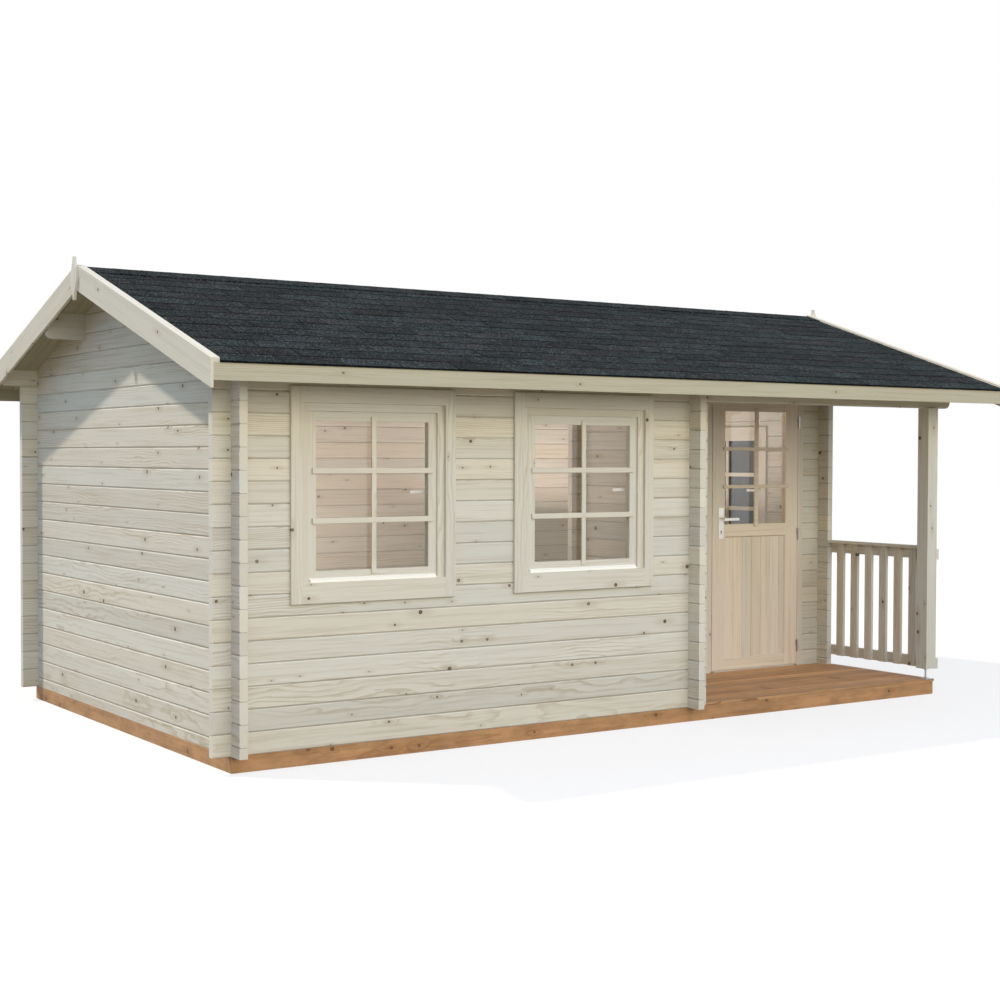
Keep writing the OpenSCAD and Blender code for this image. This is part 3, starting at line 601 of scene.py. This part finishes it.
class CABIN_OT_logs(bpy.types.Operator):
    """Gives the log walls and beams their wood"""
    bl_idname = "cabin.logs"
    bl_label = "Log walls"

    def execute(self, context):
        tones = woods(context, "spruce")
        half = BASE_TOP - LOG_HEIGHT / 2
        walls = (
            ("front_logs", 0, BASE_TOP, 3.0, ("front_wall", "front_beam")),
            ("rear_logs", 0, BASE_TOP, 61.0, ("rear_wall", "rear_top_log")),
            ("door_wall_logs", 0, BASE_TOP, 127.0, ("door_wall_left", "door_wall_right", "door_wall_top")),
            ("left_gable_logs", 1, half, 211.0, ("left_gable_wall",)),
            ("right_gable_logs", 1, half, 307.0, ("right_gable_wall", "right_gable_top")),
            ("side_wall_logs", 1, half, 401.0, ("terrace_side_wall",)),
        )
        for name, axis, low, first, nodes in walls:
            def number(g, low=low, first=first):
                return math.floor((g.z - low) / LOG_HEIGHT) + first
            directions = along_y if axis else along_x
            dress(wood(name, directions, *tones, number, course=low, ends=axis), *nodes)
        return {"FINISHED"}


class CABIN_OT_trim(bpy.types.Operator):
    """Gives the roof trim, purlins, post and railing their wood"""
    bl_idname = "cabin.trim"
    bl_label = "Trim and railing"

    def execute(self, context):
        tones = woods(context, "spruce")
        first_baluster, baluster_pitch = -1.40, 0.1336

        def four_ways(g):
            return (g.x > 0.0) * 3.0 + (g.y > 0.0) * 5.0 + 11.0

        cream = scaled(tones[0], (0.975, 0.95, 0.90))
        dress(wood("sloping_trim", along_slope, cream, *tones[1:], four_ways, knots=0.8, grain=0.7),
              "left_barge_boards", "right_barge_boards", "edge_caps")
        # Painted shade: the purlins take a darker copy of the spruce, for the shade under the eaves
        painted_shade = scaled(tones[0], 0.82), scaled(tones[1], 0.82), tones[2]
        dress(wood("purlin_wood", along_x, *painted_shade, lambda g: (g.y > 0.0) * 7.0 + 23.0, knots=0.9, grain=0.8),
              "roof_purlins")
        dress(wood("fascia_wood", along_x, *woods(context, "fascia"), lambda g: (g.y > 0.0) * 7.0 + 27.0, knots=0.9),
              "eave_fascias")
        dress(wood("finial_wood", along_z_in_rail, *tones, lambda g: (g.x > 0.0) * 3.0 + 31.0, knots=0.3, grain=0.6),
              "gable_finials")
        dress(wood("post_wood", around_z, *tones, lambda g: g.x * 0.0 + 41.0, knots=1.5), "terrace_post")
        dress(wood("baluster_wood", along_z_in_rail, *tones,
                   lambda g: math.floor((g.y - first_baluster) / baluster_pitch) + 47.0), "railing_balusters")
        dress(wood("rail_wood", along_y, *tones, lambda g: math.floor(g.z * 4.0) + 59.0),
              "railing_rails", "railing_cap")
        return {"FINISHED"}


class CABIN_OT_base(bpy.types.Operator):
    """Gives the sleepers, deck and floor their wood and drives the deck screws"""
    bl_idname = "cabin.base"
    bl_label = "Base, deck and floor"

    def execute(self, context):
        # Painted light: the treated tones are lightened for the deck in the shade of the roof
        brown = *woods(context, "treated")[:2], (0.115, 0.058, 0.030)
        rough = {"knots": 1.4, "grain": 0.8, "uneven": 0.26, "mottle": 0.17}
        # Painted shade: the sleepers take darker copies of the treated wood than the deck, the side ones darker than
        # the front and rear ones
        lengthwise_painted_shade = scaled(brown[0], 0.84), scaled(brown[1], 0.84), brown[2]
        dress(wood("sleeper_along", along_x, *lengthwise_painted_shade, lambda g: (g.y > 0.0) * 3.0 + 71.0, **rough),
              "base_front_beam", "base_rear_beam")
        # Painted shade: the side sleepers and the joists take the darkest copy
        painted_shade = scaled(brown[0], 0.68), scaled(brown[1], 0.68), brown[2]
        dress(wood("sleeper_across", along_y, *painted_shade, lambda g: math.floor(g.x * 2.1) + 83.0, **rough),
              "base_left_beam", "base_right_beam", "floor_joists")
        low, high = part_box("terrace_deck")
        boards, gap = 9, 0.005
        pitch = (high.y - low.y + gap) / boards
        dress(wood("deck_wood", along_x, *brown, lambda g: math.floor((g.y - low.y + gap / 2) / pitch) + 97.0,
                   knots=0.7, grain=1.6, uneven=0.36, mottle=0.08), "terrace_deck")
        floor_board = 0.088
        dress(wood("floor_wood", along_x, *woods(context, "spruce"), lambda g: math.floor(g.y / floor_board) + 113.0),
              "room_floor")

        bm = bmesh.new()
        for board in range(boards):
            for step in (0.065, 0.50, 0.93):
                x = low.x + step * (high.x - low.x)
                for share in (0.25, 0.75):
                    y = low.y + (board + share) * pitch - gap / 2
                    screw_head(bm, Matrix.Translation((x, y, high.z - SEAT)), radius=0.0038, rise=0.0009)
        tone = tuple(context.scene.cabin_colours.dull_steel)
        dull = steel("deck_screw_steel", tone, 0.42, (300.0, 300.0, 300.0))
        piece(bm, "deck_screws", dull, "cabin")
        return {"FINISHED"}


class CABIN_OT_roof(bpy.types.Operator):
    """Lays the roof boards, the shingle tabs and the ridge tabs"""
    bl_idname = "cabin.roof"
    bl_label = "Roof boards and shingles"

    def roof_boards(self, context):
        """Boards from ridge to eave, with eased edges on the underside."""
        count = context.scene.cabin_sizes.roof_boards
        pitch = (ROOF_HIGH.x - ROOF_LOW.x) / count
        ease, joint, board = 0.0045, 0.0003, 0.019
        thick = board * math.hypot(1.0, ROOF_RISE)
        eave, ridge = (ROOF_LOW.y, ROOF_LOW.z), (-joint, ROOF_HIGH.z - thick)
        # Painted shade: the roof boards take darker, yellower tones than the spruce, for the shade under the eaves
        timber = wood("roof_board_wood", along_slope, *woods(context, "lining"),
                      lambda g: math.floor((g.x - ROOF_LOW.x) / pitch) + 131.0)
        for name, way in (("roof_boards_front", 1.0), ("roof_boards_rear", -1.0)):
            bm = bmesh.new()
            for i in range(count):
                x0 = ROOF_LOW.x + i * pitch + joint
                x1 = x0 + pitch - 2 * joint
                outline = [(x0 + ease, 0.0), (x1 - ease, 0.0), (x1, ease), (x1, thick), (x0, thick), (x0, ease)]
                drawn_out(bm, outline, lambda p, end: (p[0], way * end[0], end[1] + p[1]), eave, ridge)
            boards = piece(bm, f"{name}_lining", timber, "cabin")
            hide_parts(name)

    def shingle_tabs(self, context):
        """Courses of tabs with open slots, each course shifted by half a tab."""
        sizes = context.scene.cabin_sizes
        tone = tuple(context.scene.cabin_colours.shingle)
        stone = shingle_stone("shingle_granules", tone, True)
        dress(stone, "shingles_front", "shingles_rear")
        eave = Vector((abs(SHINGLE_LOW.y), SHINGLE_HIGH.z - ROOF_RISE * abs(SHINGLE_LOW.y)))
        total = abs(SHINGLE_LOW.y) / SLOPE_OUT
        rows = math.ceil(total / sizes.shingle_course)
        lap, trim, narrowest, below_ridge = 0.03, 0.001, 0.02, 0.004
        for name, way, seed in (("shingle_tabs_front", -1.0, 5), ("shingle_tabs_rear", 1.0, 11)):
            chance = random.Random(seed)
            bm = bmesh.new()

            def spot(p, x_at):
                out = eave.x - p[0] * SLOPE_OUT + p[1] * SLOPE_UP
                return x_at, way * out, eave.y + p[0] * SLOPE_UP + p[1] * SLOPE_OUT

            for row in range(rows):
                low = row * sizes.shingle_course
                high = min(low + sizes.shingle_course + lap, total - below_ridge)
                x = SHINGLE_LOW.x - (0.5 * sizes.shingle_tab if row % 2 else 0.0)
                while x < SHINGLE_HIGH.x:
                    x0 = max(x + sizes.shingle_slot / 2, SHINGLE_LOW.x + trim)
                    x1 = min(x + sizes.shingle_tab - sizes.shingle_slot / 2, SHINGLE_HIGH.x - trim)
                    x += sizes.shingle_tab
                    if x1 - x0 < narrowest:
                        continue
                    lift = sizes.shingle_lift + chance.uniform(-0.0004, 0.0006)
                    ragged = chance.uniform(-0.0015, 0.0015)
                    section = [(low + ragged, 0.0004), (high, 0.0002), (high, 0.0012), (low + ragged, lift)]
                    drawn_out(bm, section, spot, x0, x1)
            piece(bm, name, stone, "cabin")

    def ridge_tabs(self, context):
        """Short bent shingles that lap one another along the ridge."""
        sizes = context.scene.cabin_sizes
        tone = tuple(context.scene.cabin_colours.shingle)
        stone = shingle_stone("ridge_granules", tone, False)
        dress(stone, "ridge_shingles")
        reach, bend, lap, flattened = 0.128, 0.018, 0.02, 0.002
        under, near_lift, far_lift = 0.0003, 0.0028, 0.0012
        shoulder = -bend * ROOF_RISE - 0.0008
        drop = -reach * ROOF_RISE
        outline = [(-reach, drop), (-bend, shoulder), (0.0, -flattened), (bend, shoulder), (reach, drop)]
        bm = bmesh.new()

        def across(x_at, lift):
            return [bm.verts.new((x_at, y, RIDGE_TOP + z + lift)) for y, z in outline]

        count = round((SHINGLE_HIGH.x - SHINGLE_LOW.x) / sizes.ridge_tab)
        pitch = (SHINGLE_HIGH.x - SHINGLE_LOW.x) / count
        for i in range(count):
            x0 = SHINGLE_LOW.x + i * pitch
            x1 = min(x0 + pitch + lap, SHINGLE_HIGH.x)
            bottom = across(x0, under), across(x1, under)
            top = across(x0, near_lift), across(x1, far_lift)
            for k in range(len(outline) - 1):
                bm.faces.new((top[0][k], top[0][k + 1], top[1][k + 1], top[1][k]))
                bm.faces.new((bottom[0][k], bottom[1][k], bottom[1][k + 1], bottom[0][k + 1]))
                for end in (0, 1):
                    bm.faces.new((bottom[end][k], bottom[end][k + 1], top[end][k + 1], top[end][k]))
            for k in (0, len(outline) - 1):
                bm.faces.new((bottom[0][k], bottom[1][k], top[1][k], top[0][k]))
        piece(bm, "ridge_tabs", stone, "cabin")

    def execute(self, context):
        self.roof_boards(context)
        self.shingle_tabs(context)
        self.ridge_tabs(context)
        return {"FINISHED"}


class CABIN_OT_windows(bpy.types.Operator):
    """Glazes the windows and adds their bars, weather bars and inside handles"""
    bl_idname = "cabin.windows"
    bl_label = "Windows"

    def execute(self, context):
        c = context.scene.cabin_colours
        sizes = context.scene.cabin_sizes
        tones = woods(context, "spruce")
        rings = (("casing_wood", CASING_HALF - CASING_WIDTH, 151.0, 0.5, "window_casings"),
                 ("frame_wood", FRAME_HALF - FRAME_WIDTH, 461.0, 0.2, "window_frames"),
                 ("sash_wood", PANE_HALF, 521.0, 0.2, "window_sashes"))
        for name, limit, first, knots, node in rings:
            dress(wood(name, window_grain(limit), *tones, window_timber(first, limit), knots=knots, grain=0.7,
                       uneven=0.05), node)
        # Painted shade: the second tint darkens the gable window's glass
        dress(clear_glass("window_glass", tuple(c.glass), tuple(c.gable_pane_painted_shade)), "window_panes")

        bars, sills, handles = bmesh.new(), bmesh.new(), bmesh.new()
        half = sizes.window_bar / 2
        pane = (-PANE_HALF, PANE_BOTTOM), (PANE_HALF, PANE_TOP)
        outside, inside = (SASH_FACE - sizes.bar_depth, SASH_FACE), (SASH_BACK - 0.012, SASH_BACK)
        outline = [(-SEAT, 0.1052), (-0.005, 0.1052), (-0.005, 0.111), (-0.002, 0.118), (SASH_FACE, 0.127),
                   (SASH_FACE, 0.1145), (-SEAT, 0.1145)]
        for place, handle_side in zip(WINDOW_PLACES, (1.0, 1.0, -1.0)):
            glazing_bars(bars, pane, outside, (half, half), sizes.bar_lap, (0.002, 0.0), place)
            if handle_side < 0.0:
                glazing_bars(bars, pane, inside, (half, half), 0.0, (0.001, 0.001), place)
            drawn_out(sills, outline, lambda p, x: place @ Vector((x, *p)), -WEATHER_BAR_HALF, WEATHER_BAR_HALF)
            self.handle(handles, place, handle_side)

        def each(g):
            return window_place(g)[2] + 157.0

        bar_wood = wood("bar_wood", bar_grain, *tones, each, knots=0.0, grain=0.6, uneven=0.05)
        piece(bars, "window_bars", bar_wood, "cabin")
        # The weather bars get a near-white tone, paler than the other window wood
        tinted = tuple(c.weather_bar), scaled(c.weather_bar, 0.88), tuple(c.knot)
        sill_wood = wood("weather_bar_wood", window_grain(9.0), *tinted, each, knots=0.0, grain=0.4, uneven=0.03)
        piece(sills, "window_weather_bars", sill_wood, "cabin")
        grip = steel("window_handle_lacquer", tuple(c.lacquer), 0.35, (260.0, 260.0, 30.0), 0.0)
        piece(handles, "window_handles", grip, "cabin")
        return {"FINISHED"}

    def handle(self, bm, place, side):
        """Small lever on the inside of a stile, to the right or left of the glass."""
        from_pane, height, grip, stub = 0.024, 0.561, 0.100, 0.010
        x, y, z = side * (PANE_HALF + from_pane), SASH_BACK, height
        near, far = sorted((x - side * grip, x + side * stub))
        eased_bar(bm, (x - 0.013, y, z - 0.032), (x + 0.013, y + 0.008, z + 0.032), 0.004, place)
        eased_bar(bm, (x - 0.008, y + 0.008, z - 0.008), (x + 0.008, y + 0.034, z + 0.008), 0.003, place)
        eased_bar(bm, (near, y + 0.024, z - 0.009), (far, y + 0.036, z + 0.009), 0.004, place)


class CABIN_OT_door(bpy.types.Operator):
    """Boards and glazes the door and gives it its wood"""
    bl_idname = "cabin.door"
    bl_label = "Door"

    def execute(self, context):
        c = context.scene.cabin_colours
        sizes = context.scene.cabin_sizes
        tones = woods(context, "pine")
        stile = (DOOR_PANE_HIGH.x - DOOR_PANE_LOW.x) / 2
        leaf_half = (LEAF_HIGH.x - LEAF_LOW.x) / 2
        dress(wood("leaf_wood", door_grain(stile), *tones, door_timber(171.0, stile), knots=0.05), "door_leaf")
        dress(wood("door_frame_wood", door_grain(leaf_half), *tones, door_timber(181.0, leaf_half), knots=0.4),
              "door_frame")
        dress(clear_glass("door_glass", tuple(c.glass), tuple(c.glass)), "door_pane")

        # Lower panel of upright boards with V joints
        boards = bmesh.new()
        x = DOOR_PANEL_LOW.x
        y0, y1 = DOOR_PANEL_LOW.y, DOOR_PANEL_HIGH.y
        ease, joint, narrowest = 0.0038, 0.0003, 0.012
        while x < DOOR_PANEL_HIGH.x - narrowest:
            end = min(x + sizes.door_board, DOOR_PANEL_HIGH.x)
            a, b = x + joint, end - joint
            outline = [(a + ease, y0), (b - ease, y0), (b, y0 + ease), (b, y1 - ease), (b - ease, y1),
                       (a + ease, y1), (a, y1 - ease), (a, y0 + ease)]
            drawn_out(boards, outline, lambda p, z: (*p, z), DOOR_PANEL_LOW.z, DOOR_PANEL_HIGH.z)
            x = end
        board_wood = wood("door_board_wood", along_z, *tones,
                          lambda g: math.floor((g.x - DOOR_PANEL_LOW.x) / sizes.door_board) + 191.0, knots=0.12)
        panel = piece(boards, "door_boards", board_wood, "door")
        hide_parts("door_panel")

        # Glazing bars on the outer face
        bars = bmesh.new()
        pane = (DOOR_PANE_LOW.x, DOOR_PANE_LOW.z), (DOOR_PANE_HIGH.x, DOOR_PANE_HIGH.z)
        depth = LEAF_LOW.y - sizes.bar_depth, LEAF_LOW.y
        glazing_bars(bars, pane, depth, (0.018, sizes.door_bar / 2), 0.020, (0.002, 0.0))
        bar_wood = wood("door_bar_wood", door_grain(9.0), *tones, lambda g: g.x * 0.0 + 201.0, knots=0.0)
        piece(bars, "door_bars", bar_wood, "door")
        self.beads(bar_wood)
        self.seals(tuple(c.pine_pale))
        return {"FINISHED"}

    def beads(self, material):
        """Sloping beads that hold the boarded panel on both faces."""
        bm = bmesh.new()
        wide, narrow, back, set_in = 0.009, 0.002, 0.0004, 0.0015
        low, high = DOOR_PANEL_LOW, DOOR_PANEL_HIGH
        for face, panel, way in ((LEAF_LOW.y, low.y, 1.0), (LEAF_HIGH.y, high.y, -1.0)):
            outer, inner = face + way * set_in, panel - way * back
            for x, turn in ((low.x, 1.0), (high.x, -1.0)):
                outline = [(x, inner), (x, outer), (x + turn * narrow, outer), (x + turn * wide, inner)]
                drawn_out(bm, outline, lambda p, z: (*p, z), low.z, high.z)
            for z, turn in ((low.z, 1.0), (high.z, -1.0)):
                outline = [(inner, z), (outer, z), (outer, z + turn * narrow), (inner, z + turn * wide)]
                drawn_out(bm, outline, lambda p, x: (x, *p), low.x, high.x)
        piece(bm, "door_beads", material, "door")

    def seals(self, tone):
        """Soft draught strips on the frame, in the gap around the leaf."""
        g = finish_graph("seal_rubber")
        worn = g.noise(g.place, 60.0, 2.0)
        rubber = g.surface({"Base Color": g.mix(worn, tone, scaled(tone, 0.86)), "Roughness": 0.55 + 0.2 * worn})
        gap, strip, ease = 0.006, 0.0032, 0.0012
        y0, y1 = LEAF_LOW.y + 0.0015, LEAF_LOW.y + 0.010
        left, right = LEAF_LOW.x - gap, LEAF_HIGH.x + gap
        low, high = LEAF_LOW.z - gap, LEAF_HIGH.z + gap
        bm = bmesh.new()
        for x in (left, right - strip):
            eased_bar(bm, (x, y0, low), (x + strip, y1, high), ease)
        for z in (low, high - strip):
            eased_bar(bm, (left + strip, y0, z), (right - strip, y1, z + strip), ease)
        piece(bm, "door_seals", rubber, "cabin")


class CABIN_OT_fittings(bpy.types.Operator):
    """Gives the hinges, lock and post foot their metal and adds screws, keyholes and nuts"""
    bl_idname = "cabin.fittings"
    bl_label = "Metal fittings"

    def execute(self, context):
        c = context.scene.cabin_colours
        bright = steel("lock_steel", tuple(c.bright_steel), 0.20, (60.0, 60.0, 700.0))
        dull = steel("hinge_steel", tuple(c.dull_steel), 0.40, (500.0, 500.0, 60.0))
        dress(bright, "lock_plates", "lever_handle")
        dress(dull, "hinge_pins", "hinge_knuckles")
        zinc = steel("foot_zinc", tuple(c.zinc), 0.42, (90.0, 90.0, 90.0))
        dress(zinc, "post_foot")

        plate_low, plate_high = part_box("lock_plates")
        x = (plate_low.x + plate_high.x) / 2
        inset, quarter = 0.014, math.pi / 2
        screws = bmesh.new()
        for z in (plate_low.z + inset, plate_high.z - inset):
            for y, turn in ((plate_low.y + SEAT, quarter), (plate_high.y - SEAT, -quarter)):
                screw_head(screws, Matrix.Translation((x, y, z)) @ Matrix.Rotation(turn, 4, "X"))
        piece(screws, "door_screws", bright, "door")
        self.keyholes(x, plate_low, plate_high)
        self.nuts(zinc)
        return {"FINISHED"}

    def keyholes(self, x, low, high):
        """Keyhole with a raised lip on each lock plate: a near-black solid, painted shade for the hole."""
        g = finish_graph("keyhole_dark")
        # Painted shade: the keyhole is near-black with a little mottle, standing in for the shade inside the hole
        painted_shade_mottle = g.noise(g.place, 300.0, 2.0)
        dark = g.surface({"Base Color": g.mix(painted_shade_mottle, (0.012, 0.011, 0.010), (0.05, 0.047, 0.043)),
                          "Roughness": 0.7 + 0.2 * painted_shade_mottle})
        bm = bmesh.new()
        z = low.z + 0.045
        radius, rise, half, drop, steps = 0.0055, 0.006, 0.003, 0.012, 12
        turns = [math.radians(-60.0 + 300.0 * i / steps) for i in range(steps + 1)]
        outline = [(radius * math.cos(a), radius * math.sin(a) + rise) for a in turns]
        outline += [(-half, -drop), (half, -drop)]
        for face, way in ((low.y, -1.0), (high.y, 1.0)):
            sunk, lip = face - way * 0.001, face + way * 0.0004
            drawn_out(bm, outline, lambda p, y: (x + p[0], y, z + p[1]), sunk, lip)
        piece(bm, "keyholes", dark, "door")

    def nuts(self, material):
        """Hexagon nuts and washers on the threaded rod under the post."""
        low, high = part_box("post_foot")
        middle = Matrix.Translation(((low.x + high.x) / 2, (low.y + high.y) / 2, 0.0))
        bm = bmesh.new()

        def collar(z0, z1, radius, sides, chamfer):
            edge, inner = (z1 - z0) * 0.15, radius * (1.0 - chamfer)
            rows = (inner, z0), (radius, z0 + edge), (radius, z1 - edge), (inner, z1)
            rings = ring_stack(bm, middle, rows, sides)
            bm.faces.new(rings[0][::-1])
            bm.faces.new(rings[-1])

        washer, nut, thread = 0.0150, 0.0108, 0.0064
        collar(high.z - 0.0025, high.z - SEAT, washer, 24, 0.02)
        collar(high.z - 0.012, high.z - 0.0025, nut, 6, 0.08)
        collar(low.z + 0.004, low.z + 0.014, nut, 6, 0.08)
        turns, start, pitch, wide = 21, 0.0148, 0.0021, 0.0016
        for i in range(turns):
            z = low.z + start + i * pitch
            collar(z, z + wide, thread, 20, 0.06)
        piece(bm, "post_nuts", material, "cabin")


class CABIN_OT_stage(bpy.types.Operator):
    """Sets the floor, the light and the camera"""
    bl_idname = "cabin.stage"
    bl_label = "Stage"

    def execute(self, context):
        scene = context.scene
        scene.view_settings.view_transform = "Standard"
        self.floor()
        self.sky(scene)
        self.lamps(scene)
        self.camera(scene)
        return {"FINISHED"}

    def floor(self):
        """Pale floor that looks white and still takes the shadow of the cabin."""
        g = Graph(bpy.data.materials.new("pale_floor"))
        plain = g.add("ShaderNodeBsdfDiffuse", {}, {"Color": (0.25, 0.22, 0.165, 1.0)})
        lit = g.add("ShaderNodeBsdfDiffuse", {}, {"Color": (0.93, 0.88, 0.83, 1.0)})
        white = g.add("ShaderNodeEmission", {}, {"Color": (1.0, 1.0, 1.0, 1.0), "Strength": 1.0})
        pale = g.add("ShaderNodeMixShader", {}, {0: 0.70, 1: lit, 2: white})
        g.close(g.add("ShaderNodeMixShader", {}, {0: g.seen(), 1: plain, 2: pale}))
        mesh = bpy.data.meshes.new("floor")
        edge, level = 60.0, -0.001
        corners = [(x, y, level) for x, y in ((-edge, -edge), (edge, -edge), (edge, edge), (-edge, edge))]
        mesh.from_pydata(corners, [], [(0, 1, 2, 3)])
        mesh.materials.append(g.owner)
        floor = bpy.data.objects.new("floor", mesh)
        bpy.context.scene.collection.objects.link(floor)

    def sky(self, scene):
        """Even light from all sides, and white where it is seen."""
        scene.world = bpy.data.worlds.new("studio")
        g = Graph(scene.world, "ShaderNodeOutputWorld")
        cool = (0.84, 1.00, 1.16, 1.0)
        even = g.add("ShaderNodeBackground", {}, {"Color": cool, "Strength": scene.cabin_stage.sky})
        white = g.add("ShaderNodeBackground", {}, {"Color": (1.0, 1.0, 1.0, 1.0)})
        g.close(g.add("ShaderNodeMixShader", {}, {0: g.seen(), 1: even, 2: white}))

    def lamps(self, scene):
        stage = scene.cabin_stage

        def lamp(name, kind, place, target, **settings):
            data = bpy.data.lights.new(name, kind)
            for key, value in settings.items():
                setattr(data, key, value)
            made = bpy.data.objects.new(name, data)
            made.location = place
            made.rotation_mode = "QUATERNION"
            made.rotation_quaternion = (Vector(target) - Vector(place)).to_track_quat("-Z", "Y")
            made.visible_camera = False
            scene.collection.objects.link(made)
            return made

        lamp("side_light", "SUN", (-4.44, 4.20, 7.92), (0.0, 0.0, 0.0), energy=stage.side, angle=math.radians(2.5),
             color=(1.0, 0.925, 0.835))
        room = (1.0, 0.905, 0.865)
        panels = (
            ("front_panel", (-0.4, -11.0, 4.8), (0.0, -1.0, 1.2), stage.front, 16.0, 5.5, (1.0, 0.935, 0.740)),
            ("high_panel", (-0.4, -7.5, 9.5), (0.0, -1.2, 1.2), stage.high, 16.0, 6.0, (0.460, 0.530, 1.0)),
            ("gable_panel", (-12.0, 0.5, 4.5), (-2.6, 0.0, 1.2), stage.gable, 8.0, 6.0, (0.0, 0.40, 1.0)),
            ("main_room_panel", (-1.42, 0.10, 0.76), (-1.15, 0.70, 2.32), stage.room, 1.8, 1.2, room),
            ("rear_room_panel", (1.30, 0.65, 1.15), (1.30, 0.65, 3.00), stage.room * 0.55, 1.8, 1.2, room),
        )
        for name, place, target, power, width, height, tone in panels:
            panel = lamp(name, "AREA", place, target, energy=power, shape="RECTANGLE", size=width, size_y=height,
                         color=tone)
            panel.visible_glossy = False
            panel.visible_transmission = False

    def camera(self, scene):
        """Camera at the photo's place, with its yaw, pitch and roll."""
        data = bpy.data.cameras.new("camera")
        data.sensor_width = 36.0
        data.lens = 58.81
        data.clip_end = 200.0
        yaw, pitch, roll = math.radians(33.81), math.radians(-1.54), math.radians(0.17)
        turn = (Matrix.Rotation(-yaw, 4, "Z") @ Matrix.Rotation(math.pi / 2 + pitch, 4, "X")
                @ Matrix.Rotation(roll, 4, "Z"))
        made = bpy.data.objects.new("camera", data)
        made.matrix_world = Matrix.Translation((-5.980, -8.957, 1.582)) @ turn
        scene.collection.objects.link(made)
        scene.camera = made


class CABIN_PT_panel(bpy.types.Panel):
    """Lists the cabin's pieces in the sidebar"""
    bl_idname = "CABIN_PT_panel"
    bl_label = "Guest cabin"
    bl_space_type = "VIEW_3D"
    bl_region_type = "UI"
    bl_category = "Cabin"

    def draw(self, context):
        for step in STEPS:
            self.layout.operator(step.bl_idname)
        for group in GROUPS:
            values = getattr(context.scene, group)
            box = self.layout.box()
            for name in values.__annotations__:
                box.prop(values, name)


STEPS = (CABIN_OT_logs, CABIN_OT_trim, CABIN_OT_base, CABIN_OT_roof, CABIN_OT_windows, CABIN_OT_door,
         CABIN_OT_fittings, CABIN_OT_stage)
GROUPS = {"cabin_colours": CabinColours, "cabin_sizes": CabinSizes, "cabin_stage": CabinStage}
CLASSES = (*GROUPS.values(), *STEPS, CABIN_PT_panel)


def register():
    for cls in CLASSES:
        bpy.utils.register_class(cls)
    for name, group in GROUPS.items():
        setattr(bpy.types.Scene, name, PointerProperty(type=group))


def unregister():
    for name in GROUPS:
        delattr(bpy.types.Scene, name)
    for cls in reversed(CLASSES):
        bpy.utils.unregister_class(cls)


def main():
    register()
    bpy.ops.cabin.logs()
    bpy.ops.cabin.trim()
    bpy.ops.cabin.base()
    bpy.ops.cabin.roof()
    bpy.ops.cabin.windows()
    bpy.ops.cabin.door()
    bpy.ops.cabin.fittings()
    bpy.ops.cabin.stage()


if __name__ == "__main__":
    main()
